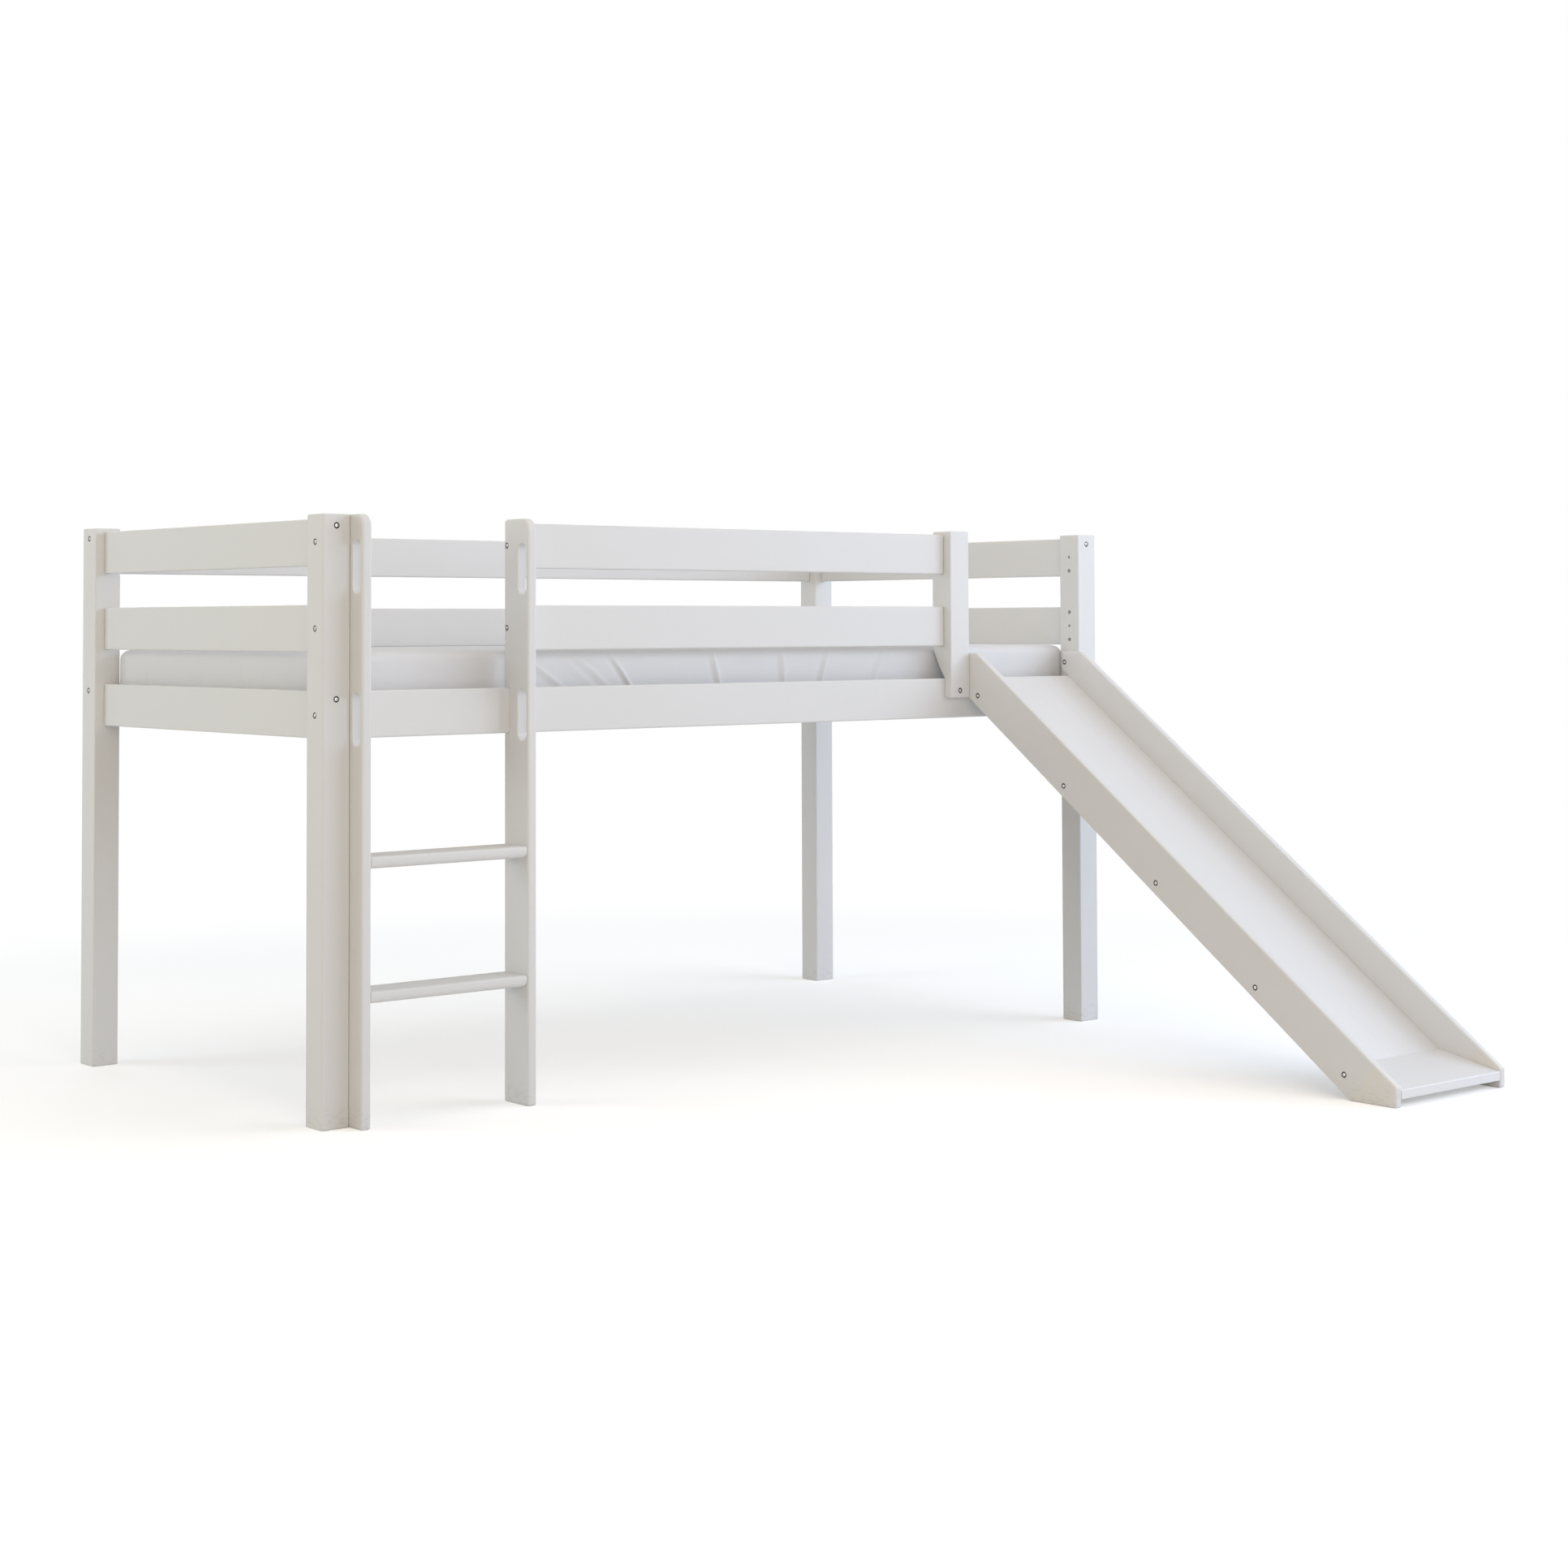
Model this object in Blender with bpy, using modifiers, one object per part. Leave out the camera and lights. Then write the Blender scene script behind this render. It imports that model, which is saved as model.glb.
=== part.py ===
"""Mid-height loft bed with a bolted ladder and a slide.

Metres, +Z up. X runs along the bed from the ladder end to the slide end, and Y from the ladder side to the
rear side. The pieces are laid out from the outer foot corner of the front left post. One empty then moves
them all, so that the origin is on the floor under the middle of the whole outline.
"""

import math

import bmesh
import bpy
from mathutils import Matrix, Vector

# Bed frame
BED_LENGTH = 2.090
BED_DEPTH = 0.980
BED_HEIGHT = 1.130
POST_WIDTH = 0.058
FIT_GAP = 0.0003

# Rails
RAIL_HEIGHT = 0.088
RAIL_THICKNESS = 0.017
RAIL_PITCH = 0.1605
TOP_RAIL_DROP = 0.0075

# Edge rounding
POST_EDGE_RADIUS = 0.0025
RAIL_EDGE_RADIUS = 0.003
SLAT_EDGE_RADIUS = 0.002

# Bolts and dowels
BOLT_RADIUS = 0.003
BOLT_HEAD_RADIUS = 0.0058
BOLT_HEAD_HEIGHT = 0.0035
BOLT_HEAD_CHAMFER = 0.001
BOLT_SINK = 0.0004
BOLT_BITE = 0.035
BOLT_EDGE_DISTANCE = 0.014
BORE_PLAY = 0.0004
BORE_END_PLAY = 0.0015
BLIND_BITE_SHARE = 0.8
SOCKET_RADIUS = 0.0026
SOCKET_DEPTH = 0.0022
DOWEL_RADIUS = 0.004
DOWEL_REACH = 0.012
DOWEL_EDGE_DISTANCE = 0.012

# Ladder
STILE_THICKNESS = 0.0207
STILE_REACH = 0.0425
STILE_EDGE_RADIUS = 0.004
STILE_FRONT_RADIUS = 0.024
STILE_BACK_RADIUS = 0.008
LADDER_CLEAR_WIDTH = 0.352
SLOT_LENGTH = 0.100
SLOT_WIDTH = 0.028
SLOT_SETBACK = 0.0215
SLOT_DROP = 0.098
SLOT_SPACING = 0.2825
SLOT_EDGE_RADIUS = 0.0015
RUNG_THICKNESS = 0.023
FIRST_RUNG_TOP = 0.251
RUNG_PITCH = 0.247
RUNG_FRONT_SETBACK = 0.0015
RUNG_BACK_SETBACK = 0.0015
RUNG_TOP_RADIUS = 0.005
RUNG_UNDER_RADIUS = 0.012
RUNG_DOWEL_SHARES = (0.25, 0.75)

# Guard post
GUARD_POST_INSET = 0.359
GUARD_POST_LAP = 0.043
GUARD_POST_CHAMFER_RISE = 0.070
GUARD_POST_BULGE = 0.0035
GUARD_POST_TOP_RADIUS = 0.008
GUARD_BOLT_RISE = 0.016

# Slide
SLIDE_REACH = 1.134
SLIDE_BOARD_THICKNESS = 0.0177
SLIDE_BOARD_WIDTH = 0.0955
SLIDE_FOOT_LENGTH = 0.1075
SLIDE_HOOK_DROP = 0.0325
SLIDE_HEAD_RISE = 0.0565
SLIDE_EDGE_RADIUS = 0.0035
SLIDE_PANEL_THICKNESS = 0.015
SLIDE_PANEL_RISE = 0.029
SLIDE_PANEL_EDGE_RADIUS = 0.001
GROOVE_DEPTH = 0.005
HOOK_BOLT_RISE = 0.032
SLIDE_BOLT_SETBACK = 0.040
SLIDE_BOLT_PITCH = 0.320
RUNOUT_LENGTH = 0.142
RUNOUT_FRONT_HEIGHT = 0.033
RUNOUT_THICKNESS = 0.0175
RUNOUT_BOLT_SETBACK = 0.020

# Slat base
LEDGE_WIDTH = 0.028
LEDGE_HEIGHT = 0.020
SLAT_THICKNESS = 0.017
SLAT_WIDTH = 0.080
SLAT_PITCH = 0.154
SLAT_BED_DROP = 0.0495
SLAT_SIDE_GAP = 0.0015

# Mattress
MATTRESS_HEIGHT = 0.1225
MATTRESS_LEFT_GAP = 0.0095
MATTRESS_RIGHT_GAP = 0.0015
MATTRESS_POST_GAP = 0.001
MATTRESS_CORNER_RADIUS = 0.022
MATTRESS_TOP_RADIUS = 0.018
MATTRESS_UNDER_RADIUS = 0.014
MATTRESS_CROWN = 0.004
MATTRESS_DRAW = 0.003
MATTRESS_BEND_SHARES = (0.35, 1)
MATTRESS_EDGE_SHARE = 0.33

# Rounding and meshing
ARC_STEPS = 6
SMALL_ARC_STEPS = 4
SLOT_ARC_STEPS = 8
BORE_SIDES = 12
DOWEL_SIDES = 8
BOLT_STEPS = 12
SOCKET_SIDES = 6
MATTRESS_LONG_FACES = 5
MATTRESS_CROSS_FACES = 3
WELD_DISTANCE = 0.00003
FLAT_ANGLE = 0.5
SHARP_ANGLE = 40
STEEP_ANGLE = 60

# Finishes: colour, roughness, metallic
WHITE_PAINT = ((0.80, 0.79, 0.77, 1.0), 0.45, 0.0)
PALE_SLIDE = ((0.86, 0.86, 0.87, 1.0), 0.35, 0.0)
BARE_PINE = ((0.74, 0.58, 0.40, 1.0), 0.60, 0.0)
BRIGHT_STEEL = ((0.62, 0.62, 0.63, 1.0), 0.28, 1.0)
PALE_CLOTH = ((0.82, 0.83, 0.85, 1.0), 0.90, 0.0)

# Levels and faces that several pieces share
RAIL_FRONT = (POST_WIDTH - RAIL_THICKNESS) / 2
RAIL_BACK = RAIL_FRONT + RAIL_THICKNESS
POST_MIDDLE = POST_WIDTH / 2
TOP_RAIL_MIDDLE = BED_HEIGHT - TOP_RAIL_DROP - RAIL_HEIGHT / 2
RAIL_MIDDLES = {
    "top": TOP_RAIL_MIDDLE,
    "middle": TOP_RAIL_MIDDLE - RAIL_PITCH,
    "low": TOP_RAIL_MIDDLE - 2 * RAIL_PITCH,
}
LOW_RAIL_TOP = RAIL_MIDDLES["low"] + RAIL_HEIGHT / 2
LOW_RAIL_UNDER = RAIL_MIDDLES["low"] - RAIL_HEIGHT / 2
LEFT_STILE_X = POST_WIDTH + FIT_GAP
RIGHT_STILE_X = LEFT_STILE_X + STILE_THICKNESS + LADDER_CLEAR_WIDTH
RIGHT_POST_X = BED_LENGTH - POST_WIDTH
SLIDE_RIGHT_X = RIGHT_POST_X - FIT_GAP
GUARD_POST_RIGHT_X = RIGHT_POST_X - GUARD_POST_INSET
GUARD_POST_X = GUARD_POST_RIGHT_X - POST_WIDTH
SLIDE_LEFT_X = GUARD_POST_RIGHT_X + FIT_GAP
SLAT_TOP = LOW_RAIL_TOP - SLAT_BED_DROP
BOLT_OFFSET = RAIL_HEIGHT / 2 - BOLT_EDGE_DISTANCE
DOWEL_SPREAD = RAIL_HEIGHT / 2 - DOWEL_EDGE_DISTANCE
BORE_RADIUS = BOLT_RADIUS + BORE_PLAY
HEAD_BORE_RADIUS = BOLT_HEAD_RADIUS + BORE_PLAY
HEAD_BORE_DEPTH = BOLT_SINK + BOLT_HEAD_HEIGHT + FIT_GAP
DOWEL_BORE_RADIUS = (DOWEL_RADIUS + BORE_PLAY) / math.cos(math.pi / DOWEL_SIDES)

ALONG_X = Vector((1, 0, 0))
ALONG_Y = Vector((0, 1, 0))
UPWARDS = Vector((0, 0, 1))


def clear_scene():
    for old in list(bpy.data.objects):
        bpy.data.objects.remove(old, do_unlink=True)


def new_collection(name, parent=None):
    collection = bpy.data.collections.new(name)
    (parent or bpy.context.scene.collection).children.link(collection)
    return collection


clear_scene()
PARTS = new_collection("mid_height_loft_bed")
CUTTERS = new_collection("cutters")
CUTTERS.hide_render = True

BED_ORIGIN = bpy.data.objects.new("bed_origin", None)
BED_ORIGIN.location = (-BED_LENGTH / 2, (SLIDE_REACH - BED_DEPTH) / 2, 0)
PARTS.objects.link(BED_ORIGIN)


def finish(name, values):
    """A material of the piece's own, with one plain colour."""
    colour, roughness, metallic = values
    material = bpy.data.materials.new(name)
    material.use_nodes = True
    shader = material.node_tree.nodes["Principled BSDF"]
    shader.inputs["Base Color"].default_value = colour
    shader.inputs["Roughness"].default_value = roughness
    shader.inputs["Metallic"].default_value = metallic
    return material


def new_part(name, mesh, values, location=(0, 0, 0)):
    part = bpy.data.objects.new(name, mesh)
    part.location = location
    part.parent = BED_ORIGIN
    PARTS.objects.link(part)
    part.data.materials.clear()
    part.data.materials.append(finish(name + "_finish", values))
    return part


def mesh_from(name, shape):
    mesh = bpy.data.meshes.new(name)
    shape.to_mesh(mesh)
    shape.free()
    return mesh


def round_edges(part, radius, segments=2, limit=SHARP_ANGLE):
    """Rounds the edges whose faces turn by more than the limit in degrees, so arcs keep their steps."""
    bevel = part.modifiers.new("rounded_edges", "BEVEL")
    bevel.width = radius
    bevel.segments = segments
    bevel.limit_method = "ANGLE"
    bevel.angle_limit = math.radians(limit)


def box_mesh(name, size):
    shape = bmesh.new()
    bmesh.ops.create_cube(shape, size=1)
    bmesh.ops.scale(shape, vec=size, verts=shape.verts)
    return mesh_from(name, shape)


def box_part(name, low, high, radius, values, segments=2):
    """A board with its place and size given by two corners."""
    low = Vector(low)
    high = Vector(high)
    part = new_part(name, box_mesh(name, high - low), values, (low + high) / 2)
    round_edges(part, radius, segments)
    return part


def outline_mesh(name, outline, thickness):
    """A flat outline in Y and Z as a filled 2D curve, made a mesh that is centred on X = 0."""
    curve = bpy.data.curves.new(name, "CURVE")
    curve.dimensions = "2D"
    curve.fill_mode = "BOTH"
    curve.extrude = thickness / 2
    spline = curve.splines.new("POLY")
    spline.points.add(len(outline) - 1)
    for point, (y, z) in zip(spline.points, outline):
        point.co = (y, z, 0, 1)
    spline.use_cyclic_u = True
    guide = bpy.data.objects.new(name, curve)
    CUTTERS.objects.link(guide)
    graph = bpy.context.evaluated_depsgraph_get()
    mesh = bpy.data.meshes.new_from_object(guide.evaluated_get(graph))
    bpy.data.objects.remove(guide, do_unlink=True)
    bpy.data.curves.remove(curve)
    shape = bmesh.new()
    shape.from_mesh(mesh)
    bmesh.ops.remove_doubles(shape, verts=shape.verts, dist=WELD_DISTANCE)
    flat = math.radians(FLAT_ANGLE)
    bmesh.ops.dissolve_limit(shape, angle_limit=flat, verts=shape.verts, edges=shape.edges)
    swap_axes = Matrix(((0, 0, 1), (1, 0, 0), (0, 1, 0)))
    bmesh.ops.transform(shape, matrix=swap_axes.to_4x4(), verts=shape.verts)
    bmesh.ops.recalc_face_normals(shape, faces=shape.faces)
    shape.to_mesh(mesh)
    shape.free()
    return mesh


def outline_part(name, outline, left, right, values):
    """A board cut to an outline in Y and Z, between two places on X."""
    mesh = outline_mesh(name, outline, right - left)
    return new_part(name, mesh, values, ((left + right) / 2, 0, 0))


def arc(centre, radius, start, end, steps=ARC_STEPS):
    """Points of a round corner in Y and Z, with its angles in degrees from +Y towards +Z."""
    points = []
    for step in range(steps + 1):
        angle = math.radians(start + (end - start) * step / steps)
        y = centre[0] + radius * math.cos(angle)
        z = centre[1] + radius * math.sin(angle)
        points.append((y, z))
    return points


def new_cutter(name, mesh, location, folder):
    cutter = bpy.data.objects.new(name, mesh)
    cutter.location = location
    cutter.parent = BED_ORIGIN
    cutter.hide_render = True
    cutter.display_type = "WIRE"
    folder.objects.link(cutter)
    return cutter


def rod_cutter(name, start, direction, length, radius, sides, folder):
    """A round cutter or peg that runs from start along direction."""
    shape = bmesh.new()
    bmesh.ops.create_cone(
        shape, cap_ends=True, segments=sides, radius1=radius, radius2=radius, depth=length
    )
    middle = Vector(start) + direction * length / 2
    cutter = new_cutter(name, mesh_from(name, shape), middle, folder)
    cutter.rotation_euler = UPWARDS.rotation_difference(direction).to_euler()
    return cutter


def folder_for(part, use):
    """The collection of cutters that one piece holds for one use."""
    name = part.name + "_" + use
    return bpy.data.collections.get(name) or new_collection(name, CUTTERS)


def combine(part, folder, operation):
    boolean = part.modifiers.new(folder.name, "BOOLEAN")
    boolean.operand_type = "COLLECTION"
    boolean.collection = folder
    boolean.operation = operation
    boolean.solver = "EXACT"


def cut(part, use="cuts"):
    combine(part, folder_for(part, use), "DIFFERENCE")


def bore(part, start, direction, length, radius, sides=BORE_SIDES):
    """A straight hole that starts just outside the piece. A piece's cuts are all made later, at once."""
    folder = folder_for(part, "cuts")
    name = folder.name + "_" + str(len(folder.objects))
    mouth = Vector(start) - direction * BORE_RADIUS
    rod_cutter(name, mouth, direction, length + BORE_RADIUS, radius, sides, folder)


def add_pegs(part, starts, direction):
    """Glued-in dowels: each starts inside the piece and stands out of its end."""
    folder = folder_for(part, "dowels")
    for start in starts:
        name = folder.name + "_" + str(len(folder.objects))
        root = Vector(start) - direction * DOWEL_REACH
        rod_cutter(name, root, direction, 2 * DOWEL_REACH, DOWEL_RADIUS, DOWEL_SIDES, folder)


def bore_for_pegs(part, starts, direction):
    for start in starts:
        depth = DOWEL_REACH + BORE_END_PLAY
        bore(part, start, direction, depth, DOWEL_BORE_RADIUS, DOWEL_SIDES)


BOLT_MESHES = {}


def bolt_mesh(length):
    """A turned connector bolt with a hexagonal socket: its head's face is at Z = 0, its shank runs down."""
    key = round(length, 6)
    if key in BOLT_MESHES:
        return BOLT_MESHES[key]
    profile = (
        (0, 0),
        (BOLT_HEAD_RADIUS - BOLT_HEAD_CHAMFER, 0),
        (BOLT_HEAD_RADIUS, -BOLT_HEAD_CHAMFER),
        (BOLT_HEAD_RADIUS, -BOLT_HEAD_HEIGHT),
        (BOLT_RADIUS, -BOLT_HEAD_HEIGHT),
        (BOLT_RADIUS, -BOLT_HEAD_HEIGHT - length),
        (0, -BOLT_HEAD_HEIGHT - length),
    )
    shape = bmesh.new()
    corners = [shape.verts.new((x, 0, z)) for x, z in profile]
    for first, second in zip(corners, corners[1:]):
        shape.edges.new((first, second))
    blank = bpy.data.objects.new("bolt_blank", mesh_from("bolt_profile", shape))
    CUTTERS.objects.link(blank)
    screw = blank.modifiers.new("turned", "SCREW")
    screw.steps = BOLT_STEPS
    screw.render_steps = BOLT_STEPS
    screw.use_merge_vertices = True
    screw.merge_threshold = WELD_DISTANCE
    folder = new_collection("bolt_socket", CUTTERS)
    mouth = UPWARDS * SOCKET_DEPTH
    socket = rod_cutter(
        "socket", mouth, -UPWARDS, 2 * SOCKET_DEPTH, SOCKET_RADIUS, SOCKET_SIDES, folder
    )
    socket.parent = None
    combine(blank, folder, "DIFFERENCE")
    graph = bpy.context.evaluated_depsgraph_get()
    mesh = bpy.data.meshes.new_from_object(blank.evaluated_get(graph))
    bpy.data.objects.remove(blank, do_unlink=True)
    bpy.data.objects.remove(socket, do_unlink=True)
    bpy.data.collections.remove(folder)
    mesh.shade_smooth()
    mesh.set_sharp_from_angle(angle=math.radians(SHARP_ANGLE))
    BOLT_MESHES[key] = mesh
    return mesh


def bolt(name, face_point, inwards, grip, bite, pieces):
    """A bolt sunk into a face. It goes through the first piece (grip) and ends in the last one (bite)."""
    face_point = Vector(face_point)
    shank = grip + bite - BOLT_SINK - BOLT_HEAD_HEIGHT
    part = new_part(name, bolt_mesh(shank).copy(), BRIGHT_STEEL)
    part.location = face_point + inwards * BOLT_SINK
    part.rotation_euler = UPWARDS.rotation_difference(-inwards).to_euler()
    bolt_bores(face_point, inwards, grip, bite, pieces)


def bolt_bores(face_point, inwards, grip, bite, pieces):
    """The counterbore and the bore of one bolt, in every piece that it passes."""
    face_point = Vector(face_point)
    bore(pieces[0], face_point, inwards, HEAD_BORE_DEPTH, HEAD_BORE_RADIUS)
    for piece in pieces:
        bore(piece, face_point, inwards, grip + bite + BORE_END_PLAY, BORE_RADIUS)


def corner_post(name, x, y):
    low = (x, y, 0)
    high = (x + POST_WIDTH, y + POST_WIDTH, BED_HEIGHT)
    return box_part(name, low, high, POST_EDGE_RADIUS, WHITE_PAINT)


def make_corner_posts():
    rear = BED_DEPTH - POST_WIDTH
    return {
        ("front", "left"): corner_post("post_front_left", 0, 0),
        ("rear", "left"): corner_post("post_rear_left", 0, rear),
        ("front", "right"): corner_post("post_front_right", RIGHT_POST_X, 0),
        ("rear", "right"): corner_post("post_rear_right", RIGHT_POST_X, rear),
    }


def long_rail(name, level, y, left, right):
    middle = RAIL_MIDDLES[level]
    low = (left, y, middle - RAIL_HEIGHT / 2)
    high = (right, y + RAIL_THICKNESS, middle + RAIL_HEIGHT / 2)
    return box_part(name, low, high, RAIL_EDGE_RADIUS, WHITE_PAINT)


def end_rail(name, level, x):
    middle = RAIL_MIDDLES[level]
    low = (x, POST_WIDTH + FIT_GAP, middle - RAIL_HEIGHT / 2)
    high = (x + RAIL_THICKNESS, BED_DEPTH - POST_WIDTH - FIT_GAP, middle + RAIL_HEIGHT / 2)
    return box_part(name, low, high, RAIL_EDGE_RADIUS, WHITE_PAINT)


def centre_joint_pegs(level):
    """Heights of the dowels of a joint whose bolt is at the rail's middle."""
    middle = RAIL_MIDDLES[level]
    return (middle - DOWEL_SPREAD, middle + DOWEL_SPREAD)


def peg_joint(rail, post, end_point, heights, direction):
    """Dowels that stand out of a rail's end, and their bores in the piece that it butts against."""
    starts = [Vector((end_point[0], end_point[1], height)) for height in heights]
    add_pegs(rail, starts, direction)
    bore_for_pegs(post, starts, direction)


def make_rear_rails(posts):
    """Long rear rails. Their bolts come from the end faces of the rear posts."""
    rails = []
    y = BED_DEPTH - RAIL_BACK
    middle = BED_DEPTH - POST_MIDDLE
    left = POST_WIDTH + FIT_GAP
    right = RIGHT_POST_X - FIT_GAP
    for level, rail_middle in RAIL_MIDDLES.items():
        rail = long_rail("rear_rail_" + level, level, y, left, right)
        heights = (rail_middle - DOWEL_SPREAD,)
        peg_joint(rail, posts["rear", "left"], (left, middle), heights, -ALONG_X)
        peg_joint(rail, posts["rear", "right"], (right, middle), heights, ALONG_X)
        rails.append(rail)
        if level == "middle":
            continue
        height = rail_middle + BOLT_OFFSET
        start = Vector((0, middle, height))
        pieces = (posts["rear", "left"], rail)
        bolt("bolt_rear_left_" + level, start, ALONG_X, POST_WIDTH, BOLT_BITE, pieces)
        start = Vector((BED_LENGTH, middle, height))
        pieces = (posts["rear", "right"], rail)
        bolt_bores(start, -ALONG_X, POST_WIDTH, BOLT_BITE, pieces)
    return rails


def make_end_rails(posts, side, x, middle):
    """Rails between two posts. Front bolts sit above the rail's middle, rear bolts at its middle."""
    rails = []
    front_post = posts["front", side]
    rear_post = posts["rear", side]
    front = POST_WIDTH + FIT_GAP
    rear = BED_DEPTH - front
    for level, rail_middle in RAIL_MIDDLES.items():
        rail = end_rail(side + "_end_rail_" + level, level, x)
        peg_joint(rail, front_post, (middle, front), (rail_middle - DOWEL_SPREAD,), -ALONG_Y)
        peg_joint(rail, rear_post, (middle, rear), centre_joint_pegs(level), ALONG_Y)
        rails.append(rail)
        start = Vector((middle, BED_DEPTH, rail_middle))
        bolt_bores(start, -ALONG_Y, POST_WIDTH, BOLT_BITE, (rear_post, rail))
        if level == "middle":
            continue
        name = "bolt_front_" + side + "_" + level
        start = Vector((middle, 0, rail_middle + BOLT_OFFSET))
        bolt(name, start, ALONG_Y, POST_WIDTH, BOLT_BITE, (front_post, rail))
    return rails


def make_front_rail(posts):
    left = POST_WIDTH + FIT_GAP
    right = RIGHT_POST_X - FIT_GAP
    rail = long_rail("front_rail_low", "low", RAIL_FRONT, left, right)
    heights = centre_joint_pegs("low")
    peg_joint(rail, posts["front", "left"], (left, POST_MIDDLE), heights, -ALONG_X)
    peg_joint(rail, posts["front", "right"], (right, POST_MIDDLE), heights, ALONG_X)
    middle = RAIL_MIDDLES["low"]
    start = Vector((0, POST_MIDDLE, middle))
    pieces = (posts["front", "left"], rail)
    bolt("bolt_ladder_post_low", start, ALONG_X, POST_WIDTH, BOLT_BITE, pieces)
    start = Vector((BED_LENGTH, POST_MIDDLE, middle))
    bolt_bores(start, -ALONG_X, POST_WIDTH, BOLT_BITE, (posts["front", "right"], rail))
    return rail


def open_holes(post):
    """Unused bolt and dowel holes for guard rails, on the inner face of the front right post."""
    for level in ("top", "middle"):
        middle = RAIL_MIDDLES[level]
        start = Vector((RIGHT_POST_X, POST_MIDDLE, middle))
        bore(post, start, ALONG_X, POST_WIDTH + BORE_RADIUS, BORE_RADIUS)
        heights = (middle - DOWEL_SPREAD,) if level == "top" else centre_joint_pegs(level)
        starts = [Vector((RIGHT_POST_X, POST_MIDDLE, height)) for height in heights]
        bore_for_pegs(post, starts, ALONG_X)


def stile_outline():
    """Side view of a ladder stile, whose back is level with the rails' backs."""
    front_centre = (STILE_FRONT_RADIUS - STILE_REACH, BED_HEIGHT - STILE_FRONT_RADIUS)
    back_centre = (RAIL_BACK - STILE_BACK_RADIUS, BED_HEIGHT - STILE_BACK_RADIUS)
    outline = [(-STILE_REACH, 0), (RAIL_BACK, 0)]
    outline += arc(back_centre, STILE_BACK_RADIUS, 0, 90, SMALL_ARC_STEPS)
    outline += arc(front_centre, STILE_FRONT_RADIUS, 90, 180)
    return outline


def notch_for_low_rail(part, under, thickness):
    """Cuts a board's back square round the low front rail, up to its top and down to a given height."""
    low = Vector((0, RAIL_FRONT - FIT_GAP, under))
    high = Vector((0, POST_WIDTH, LOW_RAIL_TOP + FIT_GAP))
    size = high - low
    size.x = 2 * thickness
    middle = (low + high) / 2
    middle.x = part.location.x
    name = part.name + "_notch"
    new_cutter(name, box_mesh(name, size), middle, folder_for(part, "cuts"))


def slot_outline(height):
    """Outline of a handle slot with round ends."""
    radius = SLOT_WIDTH / 2
    y = SLOT_SETBACK - STILE_REACH
    reach = SLOT_LENGTH / 2 - radius
    upper = arc((y, height + reach), radius, 0, 180, SLOT_ARC_STEPS)
    lower = arc((y, height - reach), radius, 180, 360, SLOT_ARC_STEPS)
    return upper + lower


def make_stile(name, left):
    right = left + STILE_THICKNESS
    stile = outline_part(name, stile_outline(), left, right, WHITE_PAINT)
    round_edges(stile, STILE_EDGE_RADIUS)
    folder = folder_for(stile, "slots")
    for index in range(2):
        height = BED_HEIGHT - SLOT_DROP - index * SLOT_SPACING
        mesh = outline_mesh(name + "_slot", slot_outline(height), 2 * STILE_THICKNESS)
        new_cutter(name + "_slot_" + str(index), mesh, ((left + right) / 2, 0, 0), folder)
    cut(stile, "slots")
    round_edges(stile, SLOT_EDGE_RADIUS, 1, STEEP_ANGLE)
    notch_for_low_rail(stile, LOW_RAIL_UNDER - FIT_GAP, STILE_THICKNESS)
    return stile


def rung_outline(top):
    """Side view of a rung: a flat tread with a rounded nose, rounder below than above."""
    front = RUNG_FRONT_SETBACK - STILE_REACH
    back = RAIL_BACK - RUNG_BACK_SETBACK
    under = top - RUNG_THICKNESS
    outline = [(back, under), (back, top)]
    upper = (front + RUNG_TOP_RADIUS, top - RUNG_TOP_RADIUS)
    lower = (front + RUNG_UNDER_RADIUS, under + RUNG_UNDER_RADIUS)
    outline += arc(upper, RUNG_TOP_RADIUS, 90, 180, SMALL_ARC_STEPS)
    outline += arc(lower, RUNG_UNDER_RADIUS, 180, 270, SMALL_ARC_STEPS)
    return outline


def make_ladder(posts):
    left = make_stile("ladder_stile_left", LEFT_STILE_X)
    right = make_stile("ladder_stile_right", RIGHT_STILE_X)
    tread_left = LEFT_STILE_X + STILE_THICKNESS + FIT_GAP
    tread_right = RIGHT_STILE_X - FIT_GAP
    depth = STILE_REACH + RAIL_BACK
    height_left = LOW_RAIL_UNDER - RUNG_THICKNESS - FIRST_RUNG_TOP
    for index in range(int(height_left / RUNG_PITCH) + 1):
        top = FIRST_RUNG_TOP + index * RUNG_PITCH
        name = "rung_" + str(index + 1)
        rung = outline_part(name, rung_outline(top), tread_left, tread_right, WHITE_PAINT)
        round_edges(rung, RAIL_EDGE_RADIUS)
        height = top - RUNG_THICKNESS / 2
        for share in RUNG_DOWEL_SHARES:
            y = RAIL_BACK - depth * share
            peg_joint(rung, left, (tread_left, y), (height,), -ALONG_X)
            peg_joint(rung, right, (tread_right, y), (height,), ALONG_X)
        cut_and_join(rung)
    stile_bite = STILE_THICKNESS * BLIND_BITE_SHARE
    for level in ("top", "middle"):
        start = Vector((0, POST_MIDDLE, RAIL_MIDDLES[level]))
        pieces = (posts["front", "left"], left)
        bolt("bolt_ladder_post_" + level, start, ALONG_X, POST_WIDTH, stile_bite, pieces)
    return left, right


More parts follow.
